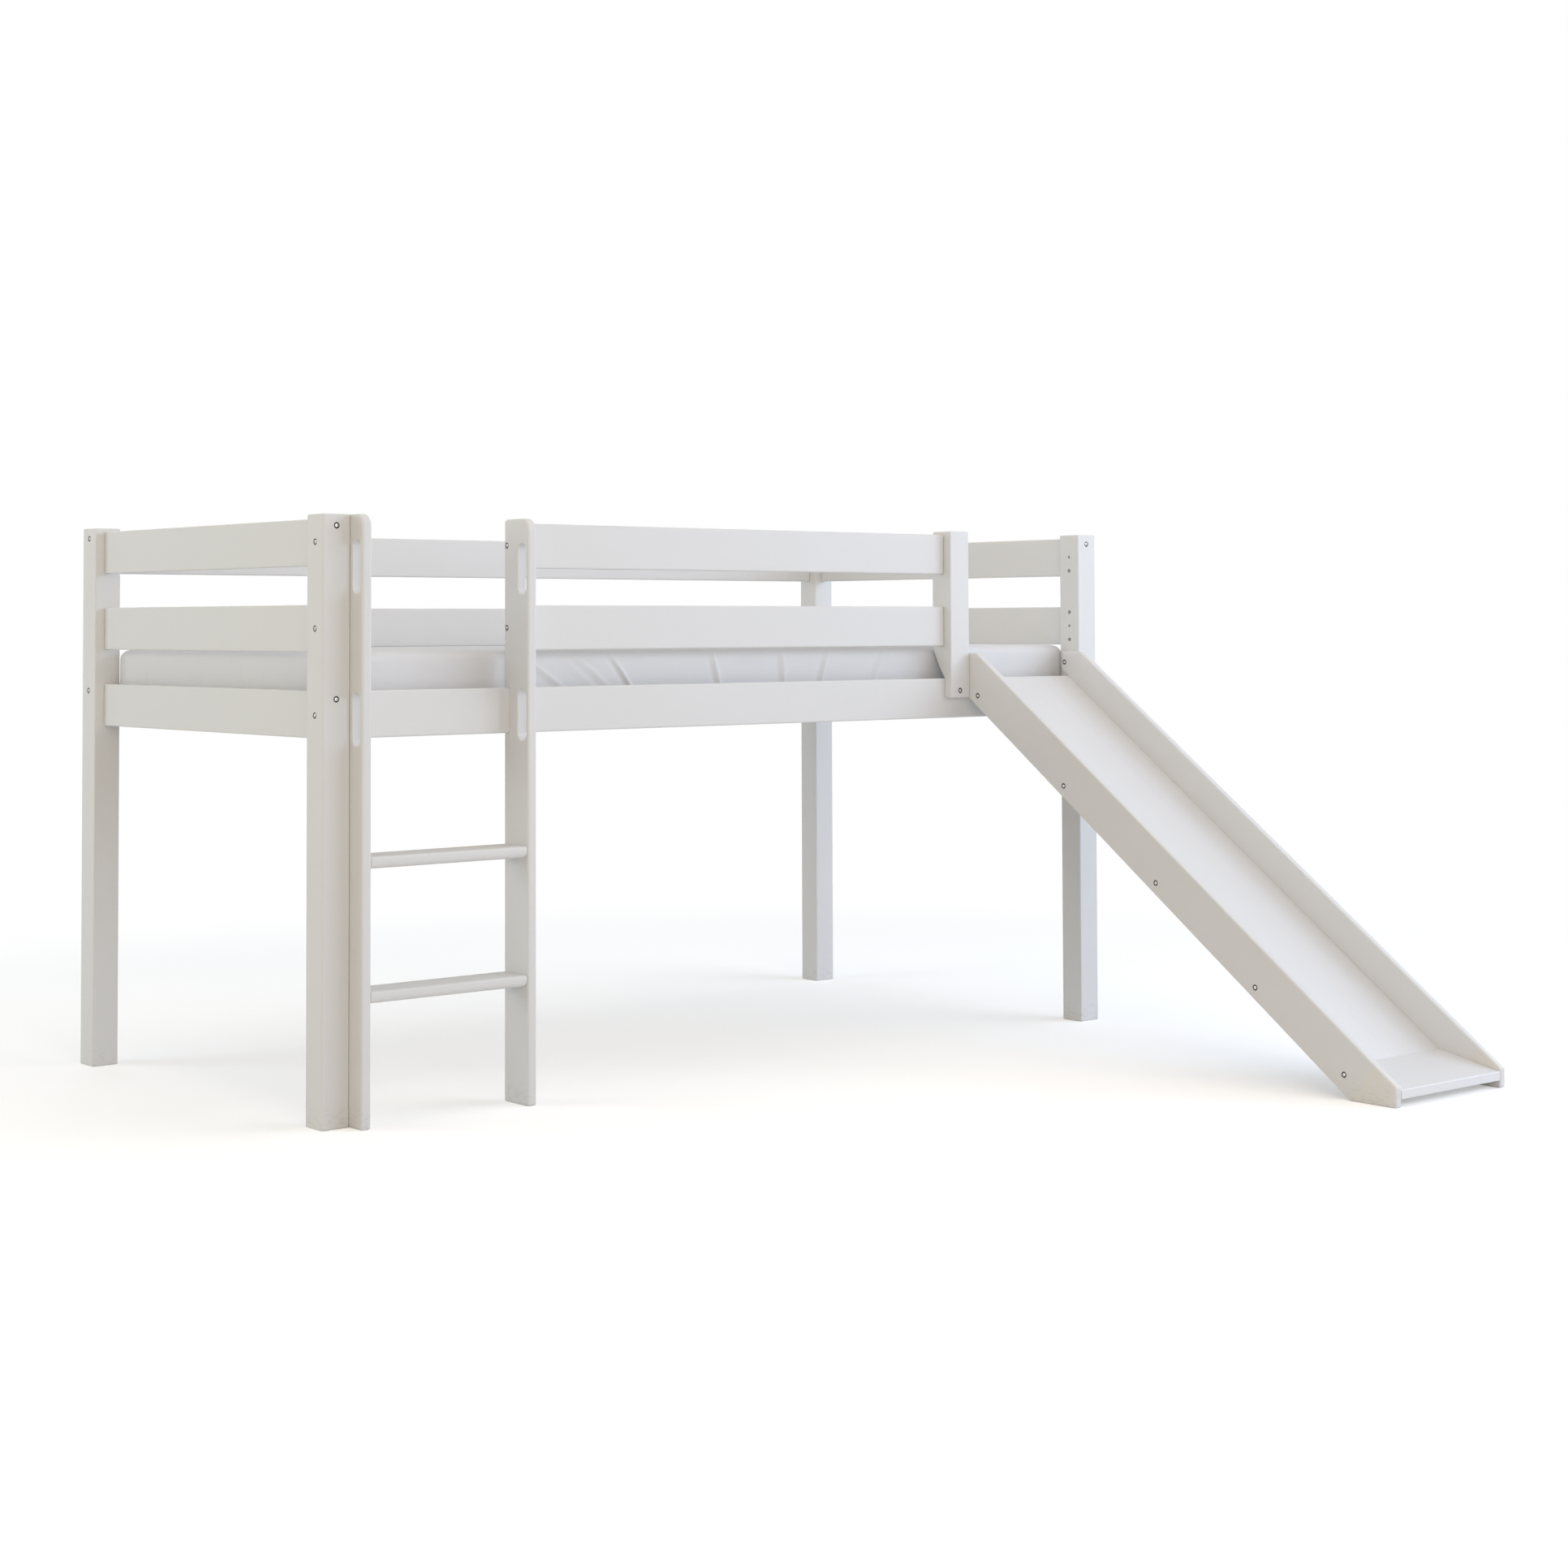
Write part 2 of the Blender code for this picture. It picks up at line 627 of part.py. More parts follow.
def guard_post_outline():
    """Side view of the guard post: full depth above, half-lapped in front of the low rail."""
    lap = RAIL_FRONT - FIT_GAP
    shoulder = LOW_RAIL_TOP + FIT_GAP
    radius = GUARD_POST_TOP_RADIUS
    outline = [(0, LOW_RAIL_TOP - GUARD_POST_LAP), (lap, LOW_RAIL_TOP - GUARD_POST_LAP)]
    run = POST_WIDTH - lap
    rise = GUARD_POST_CHAMFER_RISE
    length = math.hypot(run, rise)
    for step in range(ARC_STEPS + 1):
        share = step / ARC_STEPS
        bulge = 4 * share * (1 - share) * GUARD_POST_BULGE
        y = lap + run * share + bulge * rise / length
        z = shoulder + rise * share - bulge * run / length
        outline.append((y, z))
    outline += arc((POST_WIDTH - radius, BED_HEIGHT - radius), radius, 0, 90, SMALL_ARC_STEPS)
    outline.append((0, BED_HEIGHT))
    return outline


def make_guard(posts, front_rail, right_stile):
    """The guard post, and the guard rails between the right ladder stile and it."""
    post = outline_part(
        "guard_post", guard_post_outline(), GUARD_POST_X, GUARD_POST_RIGHT_X, WHITE_PAINT
    )
    round_edges(post, POST_EDGE_RADIUS)
    left = RIGHT_STILE_X + STILE_THICKNESS + FIT_GAP
    right = GUARD_POST_X - FIT_GAP
    for level in ("top", "middle"):
        middle = RAIL_MIDDLES[level]
        rail = long_rail("guard_rail_" + level, level, RAIL_FRONT, left, right)
        heights = centre_joint_pegs(level)
        peg_joint(rail, right_stile, (left, POST_MIDDLE), heights, -ALONG_X)
        peg_joint(rail, post, (right, POST_MIDDLE), heights, ALONG_X)
        start = Vector((RIGHT_STILE_X, POST_MIDDLE, middle))
        pieces = (right_stile, rail)
        bolt("bolt_ladder_" + level, start, ALONG_X, STILE_THICKNESS, BOLT_BITE, pieces)
        start = Vector((GUARD_POST_RIGHT_X, POST_MIDDLE, middle))
        bolt_bores(start, -ALONG_X, POST_WIDTH, BOLT_BITE, (post, rail))
        cut_and_join(rail)
    x = GUARD_POST_X + POST_WIDTH / 2
    start = Vector((x, 0, LOW_RAIL_TOP - GUARD_POST_LAP + GUARD_BOLT_RISE))
    bite = FIT_GAP + RAIL_THICKNESS * BLIND_BITE_SHARE
    bolt("bolt_guard_post", start, ALONG_Y, RAIL_FRONT - FIT_GAP, bite, (post, front_rail))
    return post


class SlideLines:
    """The slide's side view. Places are given by a distance down the slope and a rise square to it."""

    def __init__(self):
        self.head = (RAIL_FRONT - FIT_GAP, LOW_RAIL_TOP - SLIDE_HOOK_DROP)
        self.foot = (SLIDE_FOOT_LENGTH - SLIDE_REACH, 0)
        run = self.head[0] - self.foot[0]
        rise = self.head[1] - self.foot[1]
        self.length = math.hypot(run, rise)
        self.cosine = run / self.length
        self.sine = rise / self.length

    def place(self, down, rise):
        y = self.head[0] - down * self.cosine - rise * self.sine
        z = self.head[1] - down * self.sine + rise * self.cosine
        return (y, z)

    def at_y(self, y, rise):
        """Where the line at this rise crosses a place on Y."""
        down = (self.head[0] - y - rise * self.sine) / self.cosine
        return self.place(down, rise)

    def at_z(self, z, rise):
        """Where the line at this rise crosses a height."""
        down = (self.head[1] - z + rise * self.cosine) / self.sine
        return self.place(down, rise)


def runout_lines(lines):
    """The corner where the slope ends, and the unit direction of the run-out's surface."""
    corner = lines.at_y(RUNOUT_LENGTH - SLIDE_REACH, SLIDE_PANEL_RISE)
    run = -RUNOUT_LENGTH
    rise = RUNOUT_FRONT_HEIGHT - corner[1]
    length = math.hypot(run, rise)
    return corner, (run / length, rise / length)


def mitre(corner, heading, lines):
    """Direction of the joint between the slide panel and the run-out, down from their shared corner."""
    slope = Vector((-lines.cosine, -lines.sine))
    along = (slope + Vector(heading)).normalized()
    return (-along.y, along.x)


def slide_board_outline(lines):
    """Side view of a slide side board, before its notch for the low front rail."""
    head_height = LOW_RAIL_TOP + SLIDE_HEAD_RISE
    return [
        (RAIL_BACK, head_height),
        lines.at_z(head_height, SLIDE_BOARD_WIDTH),
        lines.at_y(-SLIDE_REACH, SLIDE_BOARD_WIDTH),
        (-SLIDE_REACH, 0),
        lines.foot,
        lines.at_y(RAIL_BACK, 0),
    ]


def along_mitre(corner, direction, thickness, heading):
    """The point on the mitre line that lies this far under a surface with this heading."""
    sine = direction[1] * heading[0] - direction[0] * heading[1]
    length = thickness / abs(sine)
    return (corner[0] + direction[0] * length, corner[1] + direction[1] * length)


def slide_panel_outline(lines):
    """Side view of the slide panel: butted to the low rail, planed level with it, mitred at the run-out."""
    corner, heading = runout_lines(lines)
    direction = mitre(corner, heading, lines)
    slope = (-lines.cosine, -lines.sine)
    butt = RAIL_FRONT - FIT_GAP
    upper = [lines.at_y(butt, SLIDE_PANEL_RISE)]
    if upper[0][1] > LOW_RAIL_TOP:
        upper = [(butt, LOW_RAIL_TOP), lines.at_z(LOW_RAIL_TOP, SLIDE_PANEL_RISE)]
    lower = along_mitre(corner, direction, SLIDE_PANEL_THICKNESS, slope)
    under = SLIDE_PANEL_RISE - SLIDE_PANEL_THICKNESS
    return upper + [corner, lower, lines.at_y(butt, under)]


def groove_outline(lines):
    """Side view of the groove that holds the panel's edge. It runs out through the hook."""
    corner, heading = runout_lines(lines)
    direction = mitre(corner, heading, lines)
    slope = (-lines.cosine, -lines.sine)
    upper = SLIDE_PANEL_RISE + FIT_GAP
    under = SLIDE_PANEL_RISE - SLIDE_PANEL_THICKNESS - FIT_GAP
    past = RAIL_BACK + SLIDE_BOARD_THICKNESS
    lower = along_mitre(corner, direction, SLIDE_PANEL_THICKNESS + FIT_GAP, slope)
    lip = (corner[0] - direction[0] * FIT_GAP, corner[1] - direction[1] * FIT_GAP)
    shift = 2 * FIT_GAP
    return [
        lines.at_y(past, upper),
        (lip[0] + slope[0] * shift, lip[1] + slope[1] * shift),
        (lower[0] + slope[0] * shift, lower[1] + slope[1] * shift),
        lines.at_y(past, under),
    ]


def runout_outline(lines):
    """Side view of the run-out board, from the mitre to the front edge."""
    corner, heading = runout_lines(lines)
    direction = mitre(corner, heading, lines)
    start = (corner[0] + heading[0] * FIT_GAP, corner[1] + heading[1] * FIT_GAP)
    front = (-SLIDE_REACH, RUNOUT_FRONT_HEIGHT)
    lower = along_mitre(start, direction, RUNOUT_THICKNESS, heading)
    slant = heading[1] / heading[0]
    under = (-SLIDE_REACH, lower[1] + (-SLIDE_REACH - lower[0]) * slant)
    return [start, front, under, lower]


def make_slide(posts, guard_post):
    lines = SlideLines()
    left = SLIDE_LEFT_X
    right = SLIDE_RIGHT_X
    outline = slide_board_outline(lines)
    inner_left = left + SLIDE_BOARD_THICKNESS
    inner_right = right - SLIDE_BOARD_THICKNESS
    near = outline_part("slide_board_left", outline, left, inner_left, WHITE_PAINT)
    far = outline_part("slide_board_right", outline, inner_right, right, WHITE_PAINT)
    for board, inner in ((near, inner_left), (far, inner_right)):
        round_edges(board, SLIDE_EDGE_RADIUS)
        notch_for_low_rail(board, LOW_RAIL_UNDER, SLIDE_BOARD_THICKNESS)
        groove(board, inner, lines)
    seat = GROOVE_DEPTH - FIT_GAP
    panel_left = inner_left - seat
    panel_right = inner_right + seat
    panel = outline_part(
        "slide_panel", slide_panel_outline(lines), panel_left, panel_right, PALE_SLIDE
    )
    round_edges(panel, SLIDE_PANEL_EDGE_RADIUS, 1)
    runout = outline_part(
        "slide_runout",
        runout_outline(lines),
        inner_left + FIT_GAP,
        inner_right - FIT_GAP,
        PALE_SLIDE,
    )
    round_edges(runout, SLIDE_PANEL_EDGE_RADIUS, 1)
    fix_panel(lines, near, far, panel)
    fix_runout(lines, near, far, runout)
    hook_bolts(near, far, posts, guard_post, inner_left, inner_right)
    for piece in (near, far, panel, runout):
        cut(piece)


def groove(board, inner, lines):
    name = board.name + "_groove"
    mesh = outline_mesh(name, groove_outline(lines), 2 * GROOVE_DEPTH)
    new_cutter(name, mesh, (inner, 0, 0), folder_for(board, "cuts"))


def fix_panel(lines, near, far, panel):
    """Bolts at an even pitch down the slope, through the side boards into the panel's edges."""
    middle = SLIDE_PANEL_RISE - SLIDE_PANEL_THICKNESS / 2
    corner = runout_lines(lines)[0]
    span = math.dist(lines.place(0, SLIDE_PANEL_RISE), corner)
    count = int((span - 2 * SLIDE_BOLT_SETBACK) / SLIDE_BOLT_PITCH) + 1
    for index in range(count):
        down = SLIDE_BOLT_SETBACK + index * SLIDE_BOLT_PITCH
        y, z = lines.place(down, middle)
        start = Vector((SLIDE_LEFT_X, y, z))
        name = "bolt_slide_" + str(index + 1)
        bolt(name, start, ALONG_X, SLIDE_BOARD_THICKNESS, BOLT_BITE, (near, panel))
        start = Vector((SLIDE_RIGHT_X, y, z))
        bolt_bores(start, -ALONG_X, SLIDE_BOARD_THICKNESS, BOLT_BITE, (far, panel))


def fix_runout(lines, near, far, runout):
    corner, heading = runout_lines(lines)
    depth = RUNOUT_THICKNESS / 2
    y = corner[0] + heading[0] * RUNOUT_BOLT_SETBACK + heading[1] * depth
    z = corner[1] + heading[1] * RUNOUT_BOLT_SETBACK + heading[0] * depth
    start = Vector((SLIDE_LEFT_X, y, z))
    bolt("bolt_slide_runout", start, ALONG_X, SLIDE_BOARD_THICKNESS, BOLT_BITE, (near, runout))
    start = Vector((SLIDE_RIGHT_X, y, z))
    bolt_bores(start, -ALONG_X, SLIDE_BOARD_THICKNESS, BOLT_BITE, (far, runout))


def hook_bolts(near, far, posts, guard_post, inner_left, inner_right):
    """Bolts from inside the slide's head into the posts on either side."""
    height = LOW_RAIL_TOP + HOOK_BOLT_RISE
    grip = SLIDE_BOARD_THICKNESS
    start = Vector((inner_left, POST_MIDDLE, height))
    bolt("bolt_slide_head_left", start, -ALONG_X, grip, BOLT_BITE, (near, guard_post))
    start = Vector((inner_right, POST_MIDDLE, height))
    bolt("bolt_slide_head_right", start, ALONG_X, grip, BOLT_BITE, (far, posts["front", "right"]))


def make_slat_base():
    """Two ledges along the low rails, and the slats that lie across them."""
    top = SLAT_TOP - SLAT_THICKNESS - FIT_GAP
    left = POST_WIDTH + FIT_GAP
    right = RIGHT_POST_X - FIT_GAP
    front = RAIL_BACK + FIT_GAP
    rear = BED_DEPTH - RAIL_BACK - FIT_GAP
    low = (left, front, top - LEDGE_HEIGHT)
    high = (right, front + LEDGE_WIDTH, top)
    box_part("slat_ledge_front", low, high, SLAT_EDGE_RADIUS, BARE_PINE, 1)
    low = (left, rear - LEDGE_WIDTH, top - LEDGE_HEIGHT)
    high = (right, rear, top)
    box_part("slat_ledge_rear", low, high, SLAT_EDGE_RADIUS, BARE_PINE, 1)
    clear_length = BED_LENGTH - 2 * RAIL_BACK
    count = int(clear_length / SLAT_PITCH)
    first = (clear_length - (count - 1) * SLAT_PITCH) / 2 + RAIL_BACK
    for index in range(count):
        x = first + index * SLAT_PITCH
        low = (x - SLAT_WIDTH / 2, RAIL_BACK + SLAT_SIDE_GAP, SLAT_TOP - SLAT_THICKNESS)
        high = (x + SLAT_WIDTH / 2, BED_DEPTH - RAIL_BACK - SLAT_SIDE_GAP, SLAT_TOP)
        box_part("slat_%02d" % (index + 1), low, high, SLAT_EDGE_RADIUS, BARE_PINE, 1)


def row_places(length, radius, middle_faces):
    """Places of the cage's rows along one side: close together in the rounded ends, wide between them."""
    rows = [radius * share for share in MATTRESS_BEND_SHARES]
    inner = length - 2 * radius
    rows += [radius + inner * step / middle_faces for step in range(1, middle_faces)]
    rows += [length - radius * share for share in reversed(MATTRESS_BEND_SHARES)]
    return [row - length / 2 for row in rows]


def make_mattress():
    """A padded block with round corners, a crowned top, drawn-in sides and a flat underside."""
    left = RAIL_BACK + MATTRESS_LEFT_GAP
    right = BED_LENGTH - RAIL_BACK - MATTRESS_RIGHT_GAP
    front = POST_WIDTH + MATTRESS_POST_GAP
    under = SLAT_TOP + FIT_GAP
    low = Vector((left, front, under))
    high = Vector((right, BED_DEPTH - front, under + MATTRESS_HEIGHT))
    half = (high - low) / 2
    corner = MATTRESS_CORNER_RADIUS
    shape = bmesh.new()
    bmesh.ops.create_cube(shape, size=2)
    bmesh.ops.scale(shape, vec=half, verts=shape.verts)
    across_x = row_places(2 * half.x, corner, MATTRESS_LONG_FACES)
    across_y = row_places(2 * half.y, corner, MATTRESS_CROSS_FACES)
    across_z = (
        MATTRESS_UNDER_RADIUS * MATTRESS_EDGE_SHARE - half.z,
        MATTRESS_UNDER_RADIUS - half.z,
        half.z - MATTRESS_TOP_RADIUS,
        half.z - MATTRESS_TOP_RADIUS * MATTRESS_EDGE_SHARE,
    )
    for direction, places in ((ALONG_X, across_x), (ALONG_Y, across_y), (UPWARDS, across_z)):
        for place in places:
            geometry = shape.verts[:] + shape.edges[:] + shape.faces[:]
            point = direction * place
            bmesh.ops.bisect_plane(
                shape, geom=geometry, dist=WELD_DISTANCE, plane_co=point, plane_no=direction
            )
    for vertex in shape.verts:
        vertex.co = padded_place(vertex.co, half, corner)
    mesh = mesh_from("mattress", shape)
    mattress = new_part("mattress", mesh, PALE_CLOTH, (low + high) / 2)
    smooth = mattress.modifiers.new("smooth", "SUBSURF")
    smooth.levels = 1
    smooth.render_levels = 1
    mesh.shade_smooth()


def padded_place(place, half, corner):
    """Moves a point of the plain block on to the padded form."""
    edge = MATTRESS_TOP_RADIUS if place.z > 0 else MATTRESS_UNDER_RADIUS
    rise = max(abs(place.z) - (half.z - edge), 0) / edge
    inset = edge * (1 - math.sqrt(max(1 - rise**2, 0)))
    core = Vector((half.x - corner, half.y - corner))
    over = Vector((max(abs(place.x) - core.x, 0), max(abs(place.y) - core.y, 0)))
    x = place.x
    y = place.y
    if over.x > 0 and over.y > 0:
        reach = max(over.x, over.y) / over.length
        x = math.copysign(core.x + over.x * reach, x)
        y = math.copysign(core.y + over.y * reach, y)
    bow_x = 1 - (x / half.x) ** 2
    bow_y = 1 - (y / half.y) ** 2
    shrink_x = 1 - (inset + MATTRESS_DRAW * bow_y) / half.x
    shrink_y = 1 - (inset + MATTRESS_DRAW * bow_x) / half.y
    z = place.z
    if place.z > 0:
        z += (bow_x * bow_y - 1) * MATTRESS_CROWN * place.z / half.z
    return Vector((x * shrink_x, y * shrink_y, z))


def cut_and_join(part):
    """Adds a rail's dowels and cuts its bores."""
    combine(part, folder_for(part, "dowels"), "UNION")
    if folder_for(part, "cuts").objects:
        cut(part)


def main():
    posts = make_corner_posts()
    end_rails = make_end_rails(posts, "left", RAIL_FRONT, POST_MIDDLE)
    end_rails += make_end_rails(posts, "right", BED_LENGTH - RAIL_BACK, BED_LENGTH - POST_MIDDLE)
    rear_rails = make_rear_rails(posts)
    front_rail = make_front_rail(posts)
    left_stile, right_stile = make_ladder(posts)
    guard_post = make_guard(posts, front_rail, right_stile)
    make_slide(posts, guard_post)
    open_holes(posts["front", "right"])
    make_slat_base()
    make_mattress()
    for rail in end_rails + rear_rails + [front_rail]:
        cut_and_join(rail)
    for piece in list(posts.values()) + [left_stile, right_stile, guard_post]:
        cut(piece)


main()
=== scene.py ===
"""Looks of the mid-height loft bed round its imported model: finishes, bolts, mattress and a plain studio."""

import math

import bmesh
import bpy
from bpy.props import FloatProperty, FloatVectorProperty, IntProperty, PointerProperty
from bpy.types import Operator, Panel, PropertyGroup
from mathutils import Matrix, Vector, noise


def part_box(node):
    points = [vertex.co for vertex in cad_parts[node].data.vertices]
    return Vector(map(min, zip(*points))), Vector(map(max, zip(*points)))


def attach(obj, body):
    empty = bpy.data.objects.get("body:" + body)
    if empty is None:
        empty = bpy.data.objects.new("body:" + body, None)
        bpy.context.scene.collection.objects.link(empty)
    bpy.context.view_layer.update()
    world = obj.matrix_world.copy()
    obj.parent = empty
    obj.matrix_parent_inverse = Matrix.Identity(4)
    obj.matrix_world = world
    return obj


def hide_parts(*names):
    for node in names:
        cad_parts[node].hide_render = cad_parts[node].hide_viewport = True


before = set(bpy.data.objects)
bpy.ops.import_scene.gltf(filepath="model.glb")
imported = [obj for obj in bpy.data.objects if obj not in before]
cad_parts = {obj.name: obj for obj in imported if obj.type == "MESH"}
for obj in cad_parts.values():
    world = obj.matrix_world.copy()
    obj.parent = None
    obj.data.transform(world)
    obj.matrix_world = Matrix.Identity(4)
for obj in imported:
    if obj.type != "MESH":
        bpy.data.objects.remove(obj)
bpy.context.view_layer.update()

bl_info = {
    "name": "Mid-height loft bed",
    "version": (1, 0, 0),
    "blender": (4, 5, 0),
    "location": "3D View > Sidebar > Loft Bed",
    "description": "Finishes, mattress, fasteners and studio for a mid-height loft bed with a slide",
    "category": "Object",
}

ORIGIN = (0.0, 0.0, 0.0)
AXES = ((1.0, 0.0, 0.0), (0.0, 1.0, 0.0), (0.0, 0.0, 1.0))
ALONG_X, ALONG_Y, ALONG_Z = AXES
FROM_AXIS = "from_axis"
SIDES = ("left", "right")
RAIL_LEVELS = ("top", "middle", "low")
POSTS = tuple(f"post_{end}_{side}" for end in ("front", "rear") for side in SIDES)
UPRIGHTS = (*POSTS, *("ladder_stile_" + side for side in SIDES), "guard_post")
GUARD_RAILS = ("guard_rail_top", "guard_rail_middle")
REAR_RAILS = tuple("rear_rail_" + level for level in RAIL_LEVELS)
LONG_BOARDS = ("front_rail_low", *GUARD_RAILS, *REAR_RAILS, "rung_1", "rung_2")
END_BOARDS = tuple(f"{side}_end_rail_{level}" for side in SIDES for level in RAIL_LEVELS)
SLIDE_BOARDS = ("slide_board_left", "slide_board_right")
LEDGES = ("slat_ledge_front", "slat_ledge_rear")
SLAT_BASE = tuple(name for name in sorted(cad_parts) if name.startswith("slat_"))
BOLTS = tuple(name for name in sorted(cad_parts) if name.startswith("bolt_"))

# Spans of values that remap carries over. Most of a noise lies in the first two.
NOISE = (0.3, 0.7)
MID_NOISE = (0.35, 0.65)
RISING = (0.0, 1.0)
FALLING = (1.0, 0.0)

# Paint film. Its relief is made of grain, ridges and orange peel.
GRAIN_STRETCH = 0.05
RELIEF_SHARES = (0.55, 0.20, 0.30)
GRAIN_GLOSS_SHARE = 0.4
PAINT_CONTRAST = 0.015
THIN_PAINT_COVER = 0.55
RUB_MARK_COVER = 0.30
RUB_MARK_TONE = 0.55
GLOSS_SPREAD = (-0.06, 0.07)
EDGE_POLISH = -0.06
EDGE_WAVER = (0.25, 1.3)
RUB_MARK_SPAN = (0.50, 0.66)

# Slide boards, and the laminate whose lane down the middle is streaked.
BOLTS_TO_BOARD_MIDDLE = 0.0262
BOARD_HALF_WIDTH = 0.04775
BOARD_OVERRUN_SHARE = 1.2
# The run-out wears a paler copy of the panel's laminate, which is painted light.
RUNOUT_PAINTED_LIGHT = 1.03
LAMINATE_STRETCH = 0.02
LAMINATE_ROUGHNESS = (0.33, 0.42)
LAMINATE_RELIEF = 0.00006
LANE_EDGE = (0.05, 0.14)
STREAK_SPAN = (0.48, 0.70)
STREAK_COVER = 0.12
STREAK_POLISH = -0.10

# Bare pine. Across the grain the rings' phase grows by RING_RATE radians per metre.
FIGURE_SHIFT = Vector((0.37, 0.21, 0.0))
RING_STRETCH = 0.045
RING_BEND = 58.0
RING_RATE = 620.0
RING_SHARPNESS = 3.0
RING_COVER = 0.75
PORE_STRETCH = 0.02
PORE_SPAN = (0.56, 0.72)
LIFTED_TONE = 1.12
LIFTED_COVER = 0.35
PORE_TONE = 0.7
PORE_COVER = 0.35
EDGE_COVER = 0.3
PINE_ROUGHNESS = (0.66, 0.52)
PINE_RELIEF = 0.00015

# Bolts and screws. A head's near-black rim is painted shade of the recess round it, over a blackened rim.
RIM_SHADE_AND_BLACKENING_SHARES = (0.46, 0.62)
PLATING_CONTRAST = 0.12
PLATING_ROUGHNESS = (0.20, 0.36)
RING_ROUGHNESS = 0.06
RING_DEPTH = 0.00001
HEAD_SIDES = 24
HEAD_HEIGHT = 0.0034
SOCKET_DEPTH_SHARE = 0.62
RIM_SHARE = 0.28
RIM_SEGMENTS = 3
SCREW_HEIGHT = 0.0016
SCREW_SOCKET_SHARE = 0.45
SCREW_RISE = 0.0001

# Mattress block. Cuts close to an edge are placed in shares of the edge's radius.
UPRIGHT_CELL_SHARE = 0.45
EDGE_ROOM_SHARE = 1.6
EDGE_CUT_SHARES = (0.12, 0.45, 0.85, 1.3)
CUT_TOLERANCE = 0.00001
HEM_HEIGHT = 0.012
CLOTH = {
    "quality": 6,
    "mass": 0.25,
    "tension_stiffness": 18,
    "compression_stiffness": 18,
    "bending_stiffness": 0.6,
    "use_pressure": True,
    "uniform_pressure_force": 4,
}

# Creases of the cover. Each has a foot and a tip, which are places along the side, level with the rail's top
# and at the upper end. That end's height as a share of the side's, a depth and a half width follow.
FRONT_CREASES = (
    (-0.930, -0.950, 0.66, 0.0006, 0.007),
    (-0.705, -0.690, 0.70, 0.0005, 0.007),
    (-0.460, -0.556, 0.92, 0.0024, 0.0078),
    (-0.384, -0.462, 0.92, 0.0009, 0.0095),
    (-0.345, -0.432, 0.94, 0.0019, 0.0082),
    (-0.287, -0.342, 0.98, 0.0046, 0.0045),
    (-0.050, -0.068, 0.98, 0.0044, 0.0047),
    (0.130, 0.126, 0.98, 0.0038, 0.0054),
    (0.236, 0.264, 1.02, 0.0043, 0.0046),
    (0.392, 0.428, 0.98, 0.0028, 0.0052),
    (0.520, 0.540, 0.80, 0.0008, 0.0080),
    (0.800, 0.815, 0.66, 0.0006, 0.007),
)
END_CREASES = (
    (0.250, 0.228, 0.70, 0.0010, 0.006),
    (0.445, 0.460, 0.76, 0.0036, 0.005),
    (0.607, 0.612, 0.70, 0.0010, 0.006),
    (0.850, 0.874, 0.80, 0.0016, 0.006),
)
RAIL_TOP_SHARE = 0.40
SIDE_NORMAL = -0.8
FINER_CUTS = 4
FINER_LEFT = 4
FINER_RIGHT = 3
FADE_POWER = 3
LEAN_POWER = 1.1
LEFT_SLOPE = 1.6
TROUGH_SHARE = 0.4
TROUGH_OFFSET = 2
UNEVEN_PITCH = 9.0
UNEVEN_DEPTH = 0.0006
UNEVEN_CLIMB = 3

# Knitted cover, with painted shade in the gaps between its stitches
RIB_WAVER = 3.0
COURSE_LEAN = 0.62
KNIT_TONES = (0.97, 1.02)
GAP_SHADE_COVER = 0.10
GAP_SHADE_TONE = 0.80
KNIT_ROUGHNESS = (0.84, 0.96)
LINT_SHARE = 0.35
KNIT_RELIEF = 0.00018
KNIT_SHEEN = 0.25

# Studio. A softbox has a side, place, width, height, power in watts and colour.
FLOOR_HALF_SIZE = 60
BOUNCE_TONE = 0.80
FADE_START_SHARE = 0.6
FAR_CLIP = 200
LAMP_AIM = Vector((0.0, 0.2, 0.6))
SOFTBOXES = (
    ("right", (5.3, -1.2, 2.0), 2.6, 2.2, 39.0, (0.50, 0.73, 1.0)),
    ("right_front", (4.2, -3.4, 2.2), 2.6, 2.2, 84.0, (0.74, 0.835, 1.0)),
    ("front", (2.4, -5.0, 2.4), 2.6, 2.2, 49.0, (0.82, 0.855, 1.0)),
    ("front_left", (-2.8, -4.7, 2.2), 2.6, 2.2, 53.5, (1.0, 0.87, 0.69)),
    ("left", (-5.5, 0.2, 2.0), 2.6, 2.2, 23.0, (1.0, 0.73, 0.32)),
    ("left_rear", (-4.8, 3.2, 2.0), 2.6, 2.2, 57.0, (0.83, 0.945, 1.0)),
    ("overhead", (0.0, 0.0, 4.5), 3.6, 3.6, 46.0, (1.0, 0.88, 0.76)),
    ("rear", (0.5, 5.0, 3.5), 3.0, 2.2, 26.0, (0.60, 0.81, 1.0)),
)


def length(name, description, default, least=0.0):
    """A property that holds a length in metres."""
    limits = {"min": least, "precision": 5, "unit": "LENGTH"}
    return FloatProperty(name=name, description=description, default=default, **limits)


def tint(name, description, default):
    """A property that holds a colour."""
    limits = {"min": 0, "max": 1, "subtype": "COLOR"}
    return FloatVectorProperty(name=name, description=description, default=default, **limits)


class PaintSettings(PropertyGroup):
    """The white paint film on the frame, the ladder and the slide's side boards."""

    colour: tint("Colour", "Colour of the satin paint", (0.80, 0.795, 0.785))
    edge_colour: tint("Edge Colour", "Colour where the paint is thin, along the edges", (0.83, 0.79, 0.72))
    edge_width: length("Edge Width", "How far the thin paint reaches from an edge", 0.0022, 0.0002)
    grain_depth: length("Grain Depth", "Height of the wood grain that shows through the paint", 0.00015)
    roughness: FloatProperty(
        name="Roughness", description="Roughness of the paint between its glossier spots",
        subtype="FACTOR", min=0, max=1, default=0.46,
    )


